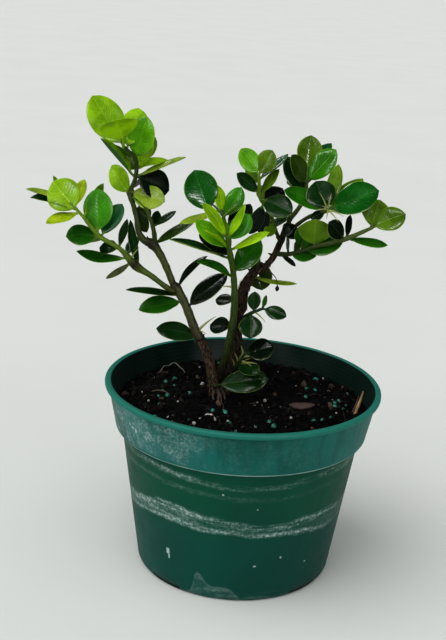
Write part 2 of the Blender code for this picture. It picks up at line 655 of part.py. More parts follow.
def soil_height(x, y):
    """A low mound towards the stems, with waves for clods, and a flat bed under the bark chip."""
    edge = pot_inner_radius(SOIL_EDGE_Z)
    share = np.clip(1.0 - np.hypot(x, y) / edge, 0.0, 1.0)
    mound = SOIL_RISE * np.clip(share * 2.2, 0.0, 1.0) ** 0.8
    rate_x, shift_x, rate_y, shift_y = CLOD_WAVE
    slant_share, slant_x, slant_y = SLANT_WAVE
    clods = np.sin(rate_x * x + shift_x) * np.sin(rate_y * y + shift_y)
    clods += slant_share * np.sin(slant_x * x + slant_y * y)
    from_chip = np.hypot(x - CHIP_CENTRE[0], y - CHIP_CENTRE[1])
    bed = np.clip((from_chip - CHIP_BED_RADIUS) / BED_SLOPE, 0.0, 1.0)
    edge_calm = np.clip(share * 12.0, 0.0, 1.0)
    open_soil = SOIL_EDGE_Z + mound + CRUMB_HEIGHT * clods * edge_calm
    return bed * open_soil + (1 - bed) * (SOIL_EDGE_Z + SOIL_RISE - BED_DROP)


def make_soil(collection, parts, cutters):
    """The potting mix fills the pot to 15 mm under its rim and stands 0.3 mm clear of the wall."""
    floor_z = FLOOR_THICKNESS + GAP
    profile = [(0.0, SOIL_EDGE_Z)]
    top = pot_inner_radius(SOIL_EDGE_Z) - GAP
    profile += [(top * ring / SOIL_RINGS, SOIL_EDGE_Z) for ring in range(1, SOIL_RINGS + 1)]
    ledge = COLLAR_FOOT_Z + WALL + 0.4 + GAP
    profile += [
        (COLLAR_FOOT_RADIUS - WALL - GAP, ledge + 0.5),
        (BODY_TOP_RADIUS - WALL - GAP - 0.3, ledge),
        (BASE_RADIUS - WALL - GAP - 0.1, FLOOR_THICKNESS + 2.3),
        (BASE_RADIUS - WALL - 2.3, floor_z),
        (0.0, floor_z),
    ]
    soil = turned("soil", profile, SOIL_SIDES, parts)
    mesh = soil.data
    co = np.empty(len(mesh.vertices) * 3)
    mesh.vertices.foreach_get("co", co)
    co = co.reshape(-1, 3) / MM
    upper = co[:, 2] > SOIL_EDGE_Z - 0.5
    co[upper, 2] = soil_height(co[upper, 0], co[upper, 1])
    mesh.vertices.foreach_set("co", (co * MM).ravel())
    mesh.update()

    granules = new_collection("granules")
    rng = np.random.default_rng(SEED)
    placed = 0
    while placed < GRANULE_COUNT:
        angle, spread = rng.uniform(0, 2 * math.pi), math.sqrt(rng.uniform(0.06, 0.9))
        x = spread * (top - 3) * math.cos(angle)
        y = spread * (top - 3) * math.sin(angle)
        near_stem = math.hypot(x + 14, y) < 15
        near_chip = math.hypot(x - CHIP_CENTRE[0], y - CHIP_CENTRE[1]) < CHIP_BED_RADIUS + 3
        near_stick = math.hypot(x - STICK_PATH[0][0], y - STICK_PATH[0][1]) < 12
        if near_stem or near_chip or near_stick:
            continue
        placed += 1
        bm = bmesh.new()
        bmesh.ops.create_icosphere(bm, subdivisions=1, radius=GRANULE_RADIUS * MM)
        above = Vector((x, y, SOIL_EDGE_Z + 20)) * MM
        height = soil.ray_cast(above, (0, 0, -1))[1].z + GRANULE_SINK * GRANULE_RADIUS * MM
        bmesh.ops.translate(bm, vec=(x * MM, y * MM, height), verts=bm.verts)
        granule = bpy.data.meshes.new("granule")
        bm.to_mesh(granule)
        bm.free()
        new_object("granule", granule, granules)
    apply_boolean(soil, "UNION", granules)
    bpy.data.collections.remove(granules)

    collar = ROOT_COLLAR[0]
    hole = (collar, (*collar[:2], HOLE_TOP_Z, collar[3]))
    tube("root_hole", hole, cutters, HOLE_SIDES, HOLE_ROOM * GAP, GAP)
    tube("stick_hole", STICK_PATH, cutters, WOOD_SIDES, CLEARANCE_ROOM * GAP, GAP)
    apply_boolean(soil, "DIFFERENCE", cutters)
    finish_node(soil, "soil", "soil", collection)


def make_wood(collection, parts):
    """The root collar, the left trunk and the long right limb are one piece of brown wood."""
    wood = tube("wood", ROOT_COLLAR, collection)
    tube("trunk", smooth_path(STEMS["trunk"]), parts)
    limb = smooth_path(STEMS["right_wood"])
    tube("limb", limb, parts)
    for index in range(LIMB_SPURS):
        share = FIRST_SPUR + SPUR_STEP * index
        heading = SPUR_TURN * index
        reach = (SPUR_REACH * math.cos(heading), SPUR_RISE, SPUR_REACH * math.sin(heading))
        thorn("limb_spur", place_along(limb, share), reach, SPUR_RADIUS, parts)
    apply_boolean(wood, "UNION", parts)
    finish_node(wood, "woody_trunk", "bark", collection)


def make_shoot(name, stems, parents, collection, parts, cutters):
    """Stems, leaves and thorns fused in one body, cut clear of the wood it springs from."""
    shoot = None
    for stem in stems:
        path = np.array(STEMS[stem], float)
        body = tube(stem, path, parts if shoot else collection, SHOOT_SIDES)
        shoot = shoot or body
        for along, reach, width, face, bow, *fold in LEAVES.get(stem, ()):
            fold = fold[0] if fold else BLADE_FOLD
            blade(stem + "_leaf", place_along(path, along), reach, width, face, bow, fold, parts)
        for along, reach, radius in THORNS.get(stem, ()):
            thorn(stem + "_thorn", place_along(path, along), reach, radius, parts)
    apply_boolean(shoot, "UNION", parts)
    for parent in parents:
        if parent in WOODY:
            tube(parent + "_room", smooth_path(STEMS[parent]), cutters, WOOD_SIDES, CLEARANCE_ROOM * GAP, GAP)
        else:
            tube(parent + "_room", STEMS[parent], cutters, SHOOT_SIDES, CLEARANCE_ROOM * GAP, GAP)
    if parents:
        apply_boolean(shoot, "DIFFERENCE", cutters)
    finish_node(shoot, name, "young_leaf" if name in YOUNG else "leaf", collection)


def make_chip(collection):
    """A flat flake of bark with cut corners, level on its bed."""
    bm = bmesh.new()
    bmesh.ops.create_cube(bm, size=1.0)
    bmesh.ops.scale(bm, vec=[side * MM for side in CHIP_SIZE], verts=bm.verts)
    uprights = [e for e in bm.edges if abs(e.verts[0].co.z - e.verts[1].co.z) > 0.0005]
    bmesh.ops.bevel(bm, geom=uprights, offset=CHIP_CORNER * MM, segments=1, affect="EDGES")
    mesh = bpy.data.meshes.new("bark_chip")
    bm.to_mesh(mesh)
    bm.free()
    chip = new_object("bark_chip", mesh, collection)
    bed = SOIL_EDGE_Z + SOIL_RISE - BED_DROP
    chip.location = (CHIP_CENTRE[0] * MM, CHIP_CENTRE[1] * MM, (bed + GAP + CHIP_SIZE[2] / 2) * MM)
    chip.rotation_euler = (0, 0, math.radians(CHIP_TURN_DEG))
    finish_node(chip, "bark_chip", "chip", collection, CHIP_SHARP_DEG)


def make_stick(collection):
    stick = tube("stick", STICK_PATH, collection)
    finish_node(stick, "stick", "stick", collection)


def build():
    clear_scene()
    model = new_collection("potted natal plum")
    parts = new_collection("parts")
    cutters = new_collection("cutters")
    make_pot(model, cutters)
    make_soil(model, parts, cutters)
    make_wood(model, parts)
    for name, (stems, parents) in SHOOTS.items():
        make_shoot(name, stems, parents, model, parts, cutters)
    make_chip(model)
    make_stick(model)
    bpy.data.collections.remove(parts)
    bpy.data.collections.remove(cutters)


build()
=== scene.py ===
"""Looks of the potted natal plum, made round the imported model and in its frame.

The origin is on the floor under the middle of the pot, +Z is up and the front of the plant is -Y.
Shapes are worked out in millimetres, and MM turns them into Blender's metres.
"""

import functools
import math

import bmesh
import bpy
import numpy as np
from mathutils import Matrix, Vector


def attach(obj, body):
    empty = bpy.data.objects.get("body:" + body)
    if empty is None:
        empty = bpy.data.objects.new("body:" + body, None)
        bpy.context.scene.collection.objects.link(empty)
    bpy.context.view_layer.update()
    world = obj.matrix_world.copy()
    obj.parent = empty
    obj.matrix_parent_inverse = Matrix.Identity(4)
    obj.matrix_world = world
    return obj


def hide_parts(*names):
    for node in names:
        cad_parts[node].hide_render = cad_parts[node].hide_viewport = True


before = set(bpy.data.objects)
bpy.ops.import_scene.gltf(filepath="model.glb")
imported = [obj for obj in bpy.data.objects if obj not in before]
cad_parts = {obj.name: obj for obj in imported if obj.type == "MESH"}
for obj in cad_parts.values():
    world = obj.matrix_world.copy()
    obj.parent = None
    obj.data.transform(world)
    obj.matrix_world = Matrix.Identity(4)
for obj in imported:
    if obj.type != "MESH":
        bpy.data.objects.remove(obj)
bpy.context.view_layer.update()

MM = 0.001
SEED = 11
LATTICE_CELLS = 61
NO_SKIN = (0.0, 0.0, 0.0)

# Camera, in metres, degrees and for its lens and sensor millimetres
CAMERA_PLACE = (-0.0142, -0.6740, 0.3681)
CAMERA_PITCH_DEG = 17.74
CAMERA_ROLL_DEG = 3.30
CAMERA_LENS = 67.5
CAMERA_SENSOR = 36.0

# Studio. The suns don't show in gloss: name, place for its direction, width of the sky in degrees,
# strength and colour. The panes are bright squares that show in gloss alone: name, place in metres,
# width and power.
FLOOR_REACH = 60.0
FLOOR_TONES = ((0.700, 0.712, 0.703), (0.716, 0.728, 0.718))
SURROUND_COLOUR = (0.80, 0.82, 0.80, 1.0)
SURROUND_STRENGTH = 0.47
LAMPS_FACE = (0.0, 0.0, 0.13)
SUNS = (
    ("sky_left", (-0.95, -0.50, 1.8), 62.0, 1.30, (1.0, 1.0, 0.985)),
    ("sky_front", (0.3, -1.3, 1.5), 90.0, 0.62, (1.0, 1.0, 1.0)),
)
PANES = (
    ("pane_far_left", (-1.15, -0.75, 0.75), 0.15, 6.0),
    ("pane_left", (-0.75, -0.65, 0.90), 0.14, 5.0),
    ("pane_high", (-0.25, -0.70, 1.25), 0.18, 5.0),
    ("pane_front", (-0.20, -1.05, 0.75), 0.09, 2.0),
    ("pane_right", (0.45, -0.80, 1.00), 0.09, 1.2),
    ("pane_low_right", (0.43, -0.75, 0.38), 0.10, 5.5),
    ("pane_back", (-0.60, 0.55, 1.20), 0.18, 5.0),
)
VIEW_LOOK = "Medium High Contrast"

# Pot, a 6.5 inch azalea pot
POT_HEIGHT = 115.0
RIM_RADIUS = 82.5
LIP_HEIGHT = 3.0
LIP_FOOT_Z = POT_HEIGHT - LIP_HEIGHT
COLLAR_TOP_RADIUS = 80.2
COLLAR_FOOT_RADIUS = 75.2
COLLAR_FOOT_Z = 87.0
BODY_TOP_RADIUS = 71.6
BASE_RADIUS = 58.5
WALL = 1.5
LEDGE_INSIDE_Z = COLLAR_FOOT_Z + WALL
FLOOR_THICKNESS = 2.2
GAP = 0.3
POLE_RADIUS = 0.4
POT_SIDES = 360
NOTCH_COUNT = 4
NOTCH_WIDTH = 23.0
NOTCH_HEIGHT = 2.6
NOTCH_RECESS = 0.9
FIRST_NOTCH_DEG = 47.0
BODY_FADE_Z = (36.0, 52.0)
POT_TONES = {
    "low_body": (0.0010, 0.078, 0.058),
    "high_body": (0.0015, 0.084, 0.048),
    "collar": (0.007, 0.150, 0.128),
    "drip": (0.004, 0.085, 0.068),
    "cloud": (0.0012, 0.052, 0.037),
    "dusty_collar": (0.060, 0.210, 0.205),
    "lip": (0.016, 0.185, 0.143),
    # inside and inside_ring are painted shade: nearly black inside the wall and in the notch recesses.
    "inside": (0.001, 0.014, 0.009),
    "inside_ring": (0.001, 0.020, 0.013),
    "chalk": (0.47, 0.60, 0.58),
}

# Chalk lines on the pot: (degrees round it from its front, height in mm), (degrees, strength), half the
# line's height, and how far it fades out. The nicks are (degrees, height, half-turn, half-height).
CHALK_RAGGEDNESS = 5.0
CHALK_LINES = {
    "under_collar": (
        ((-45, 81), (-33, 80), (-18, 78.8), (0, 77.5), (10, 77.5), (33, 80), (60, 81.5), (110, 80)),
        ((-80, 0.3), (-50, 0.75), (-30, 0.9), (-12, 0.6), (8, 0.35), (30, 0.35), (55, 0.6), (90, 0.3)),
        0.9, 1.9,
    ),
    "second_line": (
        ((-75, 75), (-40, 73), (-10, 71), (20, 70), (60, 74), (110, 74)),
        ((-75, 0.15), (-35, 0.30), (-10, 0.22), (25, 0.08), (60, 0.12), (110, 0.1)),
        0.6, 2.0,
    ),
    "upper_strand": (
        ((-64, 51), (-37, 57.7), (-18, 55.7), (-3, 53), (14, 51), (34, 52.5), (60, 53.5), (110, 52)),
        ((-80, 0.7), (-50, 0.9), (-35, 1), (-12, 0.75), (10, 0.55), (35, 0.75), (60, 0.5), (100, 0.5)),
        0.7, 2.8,
    ),
    "lower_strand": (
        ((-74, 44), (-41, 48.8), (-24, 48.2), (0, 47.5), (14, 46), (30, 46), (48, 44), (110, 44)),
        ((-80, 0.5), (-50, 0.8), (-25, 1.0), (5, 0.7), (25, 0.9), (48, 0.5), (70, 0.3), (100, 0.4)),
        0.7, 1.9,
    ),
}
BASE_SMEAR = ((-28, 0.5), (-22, 9), (-20, 17), (-15, 11), (-3, 8.5), (2, 5), (7, 0.5), (110, 0.5))
NICKS = (
    (-38.0, 26.0, 1.4, 2.2), (-37.4, 22.8, 0.7, 2.2), (11.0, 25.0, 1.0, 0.6), (25.0, 30.0, 0.6, 0.8),
    (42.0, 22.0, 0.8, 0.5), (-7.0, 73.0, 0.6, 0.6), (9.5, 64.0, 0.4, 0.5),
    (-52.0, 101.0, 1.0, 1.0), (-50.0, 99.5, 0.7, 1.4), (-54.0, 102.5, 0.6, 0.8),
)

# Soil: its crumb layers as (height, cell, seed), and the rarer crumbs as (the share they begin at, tone).
# Here and below, RADII, SHADES and the like are the least and the most that chance gives.
SOIL_EDGE_Z = 100.0
SOIL_RISE = 4.0
SOIL_RINGS = 90
SOIL_SIDES = 260
SOIL_TONE = (0.0034, 0.0032, 0.0034)
CLOD_HEIGHT = 1.1
CHIP_CALM = (5.0, 12.0)
WALL_CALM = (75.3, 73.5)
CRUMB_LAYERS = ((1.15, 3.6, 21), (0.7, 1.8, 22), (0.35, 0.9, 23))
CRUMB_COUNT = 3000
CRUMB_RADII = (0.45, 2.35)
CRUMB_SMALLNESS = 2.2
CRUMB_FORMS = (0.45, 1.25)
CRUMB_TONE = (0.0034, 0.0034, 0.0038)
CRUMB_SHADES = (0.5, 1.7)
RARER_CRUMBS = ((0.80, (0.012, 0.010, 0.009)), (0.965, (0.090, 0.070, 0.055)))

# Bark chip, with its layers as (share of the outline, height), and the stick, as (x, y, z, radius), with
# its splinters as (shift to the right, share of the length, share of the radius, tone)
CHIP_CENTRE = (35.5, -8.0)
CHIP_SIZE = (15.0, 9.0, 1.4)
CHIP_TURN_DEG = 8.0
CHIP_LAYERS = (
    (0.55, 0.02), (0.93, 0.10), (0.98, 0.35), (0.90, 0.62), (0.99, 0.80), (0.90, 1.20), (0.5, 1.40),
)
CHIP_TONE = (0.105, 0.058, 0.050)
CHIP_BED_Z = SOIL_EDGE_Z + SOIL_RISE - 0.6
CHIP_BED_RADIUS = 11.0
CHIP_BED_EDGE = 6.0
STICK_PATH = (
    (62.5, -20.0, 93.0, 1.9), (66.0, -12.5, 101.0, 1.9), (69.5, -5.5, 108.0, 1.7), (71.5, 0.0, 113.0, 1.3),
)
SPLINTERS = ((-0.75, 0.86, 0.62, (0.085, 0.050, 0.034)), (0.55, 1.0, 0.66, (0.42, 0.27, 0.13)))

# What lies on the soil: granules as (x, y), perlite as (x, y, radius), and fibres as (x, y, height over
# the soil, radius) with a tone. What is strewn by chance keeps clear of places, as (x, y, distance).
SCATTER_REACH = 73.0
KEPT_CLEAR = ((-14.0, 1.0, 9.0), (*CHIP_CENTRE, 9.5), (*STICK_PATH[0][:2], 4.5))
GRANULES_BY_CHANCE = 42
GRANULE_RADIUS = 1.55
GRANULE_SIZES = (0.80, 1.10)
GRANULE_FORMS = (0.92, 1.06)
GRANULE_TONE = (0.003, 0.150, 0.105)
GRANULE_SHADES = (0.25, 1.35)
WORN_GRANULE_TONE = (0.08, 0.34, 0.25)
SEEN_GRANULES = (
    (-50, -5), (-17, -25), (-19, 36), (-30, -37), (45, 20), (59, 8), (44, -31), (52, -22), (29, -49),
    (56, 2), (47, -26), (39, -33), (-10, -30),
)
PERLITE_BY_CHANCE = 80
PERLITE_RADII = (0.30, 1.05)
PERLITE_FORMS = (0.75, 1.15)
# Perlite: white, and grey as painted shade in the pits.
PERLITE_TONES = ((0.78, 0.77, 0.74), (0.40, 0.38, 0.36))
SEEN_PERLITE = (
    (-24.6, 14.5, 1.3), (-38, -17, 0.8), (-20, -34, 1.3), (-16.4, -40, 1.6), (-8, -38.5, 1.5),
    (-42, -38, 1.1), (-27, -47, 1.1), (9, -5, 0.8), (-1, -52, 1.0), (-24, -37, 1.1), (-18, -36, 1.2),
    (12, -8, 0.6),
)
SHRED_COUNT = 110
SHRED_FLATNESS = 0.45
SHRED_LENGTHS = (2.5, 8.0)
SHRED_WIDTHS = (0.5, 1.6)
SHRED_SLOPES = (-0.25, 0.25)
SHRED_TONE = (0.030, 0.021, 0.016)
SHRED_SHADES = (0.2, 2.0)
FIBRE_COUNT = 24
FIBRE_STEPS = 12
FIBRE_SPREAD = 68.0
FIBRE_WANDER = 0.35
FIBRE_PACES = (0.6, 1.5)
FIBRE_HOPS = (0.3, 1.8)
FIBRE_RADII = (0.10, 0.24)
FIBRE_TONE = (0.060, 0.045, 0.034)
FIBRE_SHADES = (0.2, 1.5)
SEEN_FIBRES = (
    (((-53, 36, 1, 0.35), (-50, 47, 2, 0.4), (-45, 53, 4, 0.45), (-40, 47, 3, 0.4), (-35, 34, 1, 0.3)),
     (0.22, 0.22, 0.20)),
    (((-60, -2, 1, 0.3), (-52, 0, 1.5, 0.4), (-44, -3, 1, 0.3)),
     (0.14, 0.11, 0.085)),
    (((-15, -1, 5, 1.6), (-14, -5, 2.6, 1.1), (-14.5, -11, 1.2, 0.7), (-13, -18, 0.4, 0.3)),
     (0.080, 0.052, 0.038)),
    (((-13, -1, 5, 1.3), (-11, -5, 2.2, 0.8), (-10, -10, 0.8, 0.4)),
     (0.060, 0.040, 0.030)),
    (((-17, -1, 5, 1.2), (-17.5, -5, 2.4, 0.8), (-16, -12, 1.0, 0.5), (-16.5, -17, 0.3, 0.3)),
     (0.065, 0.043, 0.032)),
    (((-13, -2, 3, 0.5), (-12.5, -9, 1.6, 0.4), (-11, -16, 0.9, 0.3), (-11.5, -22, 0.3, 0.2)),
     (0.10, 0.068, 0.05)),
)

# Leaf blades. Thickness, depth, radius and TIP_HALF are in mm, and MOST_TWIST, EDGE_SHIFT and NEARLY_FLAT
# in radians. The other measures are shares of a blade's length or half-width.
SEEN_FROM_ABOVE_DEG = 18.0
BLADE_THICKNESS = 0.62
BLADE_FOLD = 0.16
FOLD_ROUNDING = 0.1
EDGE_TURN = 0.08
EDGE_WAVES = 1.3
EDGE_SHIFT = 2.0
WAVE_SIZES = (0.02, 0.06)
GROOVE_DEPTH = 0.18
GROOVE_HALF = 0.05
PETIOLE_SHARE = 0.10
PETIOLE_RINGS = 3
STALK_RADIUS = 0.70
OPENING_SHARE = 0.18
BLADE_BLUNTNESS = 0.54
BLADE_TIPWARD = 1.1
BLADE_RINGS = 19
BLADE_END = 0.994
BLADE_SHADES = (0.88, 1.12)
TIP_START = 0.975
TIP_HALF = 0.55
LENS_PLACES = np.array((1.0, 0.975, 0.90, 0.74, 0.50, 0.24, 0.07, 0.0))
MOST_SWAY = 0.03
MOST_TWIST = 0.12
UNTWISTED_PLACE = 0.3
NEARLY_FLAT = 0.002
VEIN_PAIRS = 11.0
VEIN_SLANT = 2.6
VEIN_LIGHT = (0.030, 0.045, 0.008)
LEAF_RIM_TONE = (0.33, 0.44, 0.10)

# Wood and stems. Knots and joints reach over shares of their stem's length, and swell its radius by
# shares. The strips of bark are (stem, count, from this share of its length, to this one).
TRUNK_SLIMNESS = 0.90
LIMB_TAPER = 0.27
LIMB_TAPER_Z = (150.0, 188.0)
LIMB_FADE_Z = (120.0, 165.0)
LIMB_SPURS = 22
SPUR_SPAN = (0.36, 0.98)
SPUR_TURN = 2.4
SPUR_REACHES = (3.6, 5.4)
SPUR_RISES = (0.5, 3.0)
SPUR_RADII = (0.8, 1.5)
BARK_STRIPS = (("trunk", 46, 0.0, 0.75), ("limb", 26, 0.0, 0.35), ("limb", 30, 0.4, 0.95))
STRIP_LENGTHS = (3.0, 8.0)
STRIP_RADII = (0.25, 0.6)
STRIP_SHADES = (0.25, 1.7)
STEM_SIDES = 12
STEM_SLIMNESS = 0.92
JOINT_REACH = 0.18
JOINT_SWELL = 0.10
THORN_SIDES = 8
THORN_RINGS = 7
THORN_RISE = 0.06
THORN_SWELL = 1.05
THORN_TAPER = 0.8
THORN_POINT = 0.06
KNOTS = {"upper_trunk": (0.02, 0.96), "tall": (0.30,), "left": (0.36,), "centre": (0.0, 0.10)}
KNOT_REACH = 0.045
KNOT_SWELL = 0.16
KNOT_STUBS = 7
STUB_SHIFTS = (-0.03, 0.03)
STUB_LENGTHS = (0.5, 1.6)
STUB_SHADES = (0.6, 2.2)
KNOT_TONE = (0.026, 0.019, 0.012)
THORN_TONE = (0.330, 0.380, 0.120)
FLECK_TONE = (0.42, 0.36, 0.20)
BARK_GRAIN_TONE = (0.30, 0.22, 0.15)
WOOD_TONES = {
    "collar": (0.060, 0.042, 0.032),
    "trunk": (0.105, 0.075, 0.052),
    "limb_foot": (0.080, 0.058, 0.042),
    "limb_tip": (0.062, 0.042, 0.031),
    "spur": (0.035, 0.022, 0.016),
    "strip": (0.16, 0.105, 0.070),
}
ROOT_COLLAR = ((-14.0, 3.0, 90.0, 6.4), (-14.0, 3.0, 98.0, 6.4), (-14.0, 3.0, 107.0, 5.4))
BUD_SHOOT = "lower_branch"
BUD_TONE = (0.012, 0.009, 0.006)
BUD_PATH = (
    (12.5, 8.5, 181.0, 0.3), (15.6, 8.0, 177.5, 0.25), (16.6, 8.0, 173.6, 0.25), (16.7, 8.0, 172.6, 0.7),
    (16.7, 8.0, 171.2, 1.2), (16.6, 8.0, 169.8, 0.6),
)

# Stems: points from foot to tip as (x, y, z, radius)
STEMS = {
    "trunk": (
        (-16, 2, 103, 4.2), (-17, 1, 108, 3.7), (-19, 1, 118, 3.3), (-22, 2, 128, 3.2), (-27, 4, 138, 3.1),
    ),
    "right_wood": (
        (-12, 4, 103, 3.8), (-8, 4, 119, 3.2), (-5.5, 4, 133, 3.1), (-6, 4, 149, 3.4), (-4.2, 5, 160, 3.8),
        (-3, 6, 169, 3.9), (0.5, 8, 178, 3.4), (8, 10, 183, 2.8), (13, 12, 189, 2.6), (17, 13, 198, 2.4),
        (19, 13, 207, 2.2),
    ),
    "upper_trunk": (
        (-27, 4, 138, 3.1), (-31, 5, 145, 2.9), (-37, 8, 158, 2.7), (-42, 10, 166, 3.0), (-45, 11, 169, 2.7),
    ),
    "tall": (
        (-44.5, 12, 168, 2.1), (-50.4, 13, 181, 2.3), (-54.5, 13.5, 188, 2.5), (-58.5, 14, 192.5, 2.8),
        (-64, 14, 195, 2.2), (-67, 14.5, 200, 1.9), (-68.2, 15.3, 207, 1.7), (-70.6, 17, 214.5, 1.6),
        (-73, 18.5, 221, 1.4), (-70, 18, 231, 1.3), (-70, 15, 242, 1.2), (-77, 11, 250, 1.0),
    ),
    "tip": ((-77, 11, 249, 1.0), (-77, 10, 254, 0.8)),
    "short": (
        (-57, 13.5, 192, 1.8), (-57.3, 11, 199, 1.5), (-58.5, 9, 205, 1.3), (-60.5, 7, 211, 1.1),
        (-62.5, 5.5, 216, 0.9),
    ),
    "left": (
        (-44, 8, 166, 1.8), (-49, 6, 169, 1.8), (-58, 4, 176, 1.8), (-67, 2, 182, 2.5), (-76, -3, 193, 1.5),
        (-88, -7, 201, 1.5), (-97, -11, 213, 1.0), (-104, -14, 221, 0.8),
    ),
    "centre": (
        (-13, 3, 112, 2.0), (-13.5, 1, 118, 2.3), (-12.8, -2, 124, 2.4), (-11.2, -4, 132, 2.4),
        (-9.3, -5, 145, 2.4), (-8.1, -5, 157, 2.3), (-8.3, -5.5, 169, 2.1), (-9.3, -6.5, 180, 1.9),
        (-11, -9.5, 190.5, 1.8), (-13, -13, 199, 1.6), (-15, -17, 208, 1.0),
    ),
    "back": (
        (-11.5, -9, 189.5, 1.3), (-13, -3, 194, 1.2), (-13, 2, 201, 1.1), (-16, 4, 210, 1.0),
        (-19.5, 3, 217, 0.9), (-26, 2, 215.5, 0.8),
    ),
    "low": ((-5, 3, 152, 1.3), (-2, 0, 155, 1.2), (2, -4, 159, 1.1), (9, -6, 163, 0.8)),
    "base": ((-8, 4, 119, 1.4), (-5, -1, 124, 1.4), (-2, -6, 131, 1.2), (0, -8, 136, 0.9)),
    "foot": ((-16.5, 1, 111, 1.2), (-16.5, -3.5, 112, 1.1), (-16, -6.5, 113.5, 0.9)),
    "inner": (
        (17, 12.5, 198.5, 1.3), (13.5, 9, 206, 1.2), (11, 6.5, 213, 1.2), (8, 3.5, 220, 1.3),
        (3.5, 1, 226, 1.3), (2.2, -1, 232, 1.2), (1, -4, 242, 0.9),
    ),
    "top": (
        (19, 13, 205, 1.5), (22, 16, 212, 1.4), (27, 19, 219, 1.4), (30, 22, 227, 1.3), (30, 25, 242, 1.0),
    ),
    "outer": ((18, 12, 202, 1.4), (23, 8, 208, 1.3), (31, 4, 216, 1.2), (42, -4, 223, 1.6)),
    "lower_branch": (
        (14, 12, 191.5, 1.6), (21, 8, 192.5, 1.5), (27, 5, 195, 1.4), (36, 0, 200, 1.3), (52, -7, 207, 1.6),
        (67, -12, 216, 1.0),
    ),
    "spur": ((1, 9, 176.5, 1.4), (3.5, 12, 178.5, 1.3), (5, 14, 183, 1.2), (5, 18, 187, 0.9)),
}

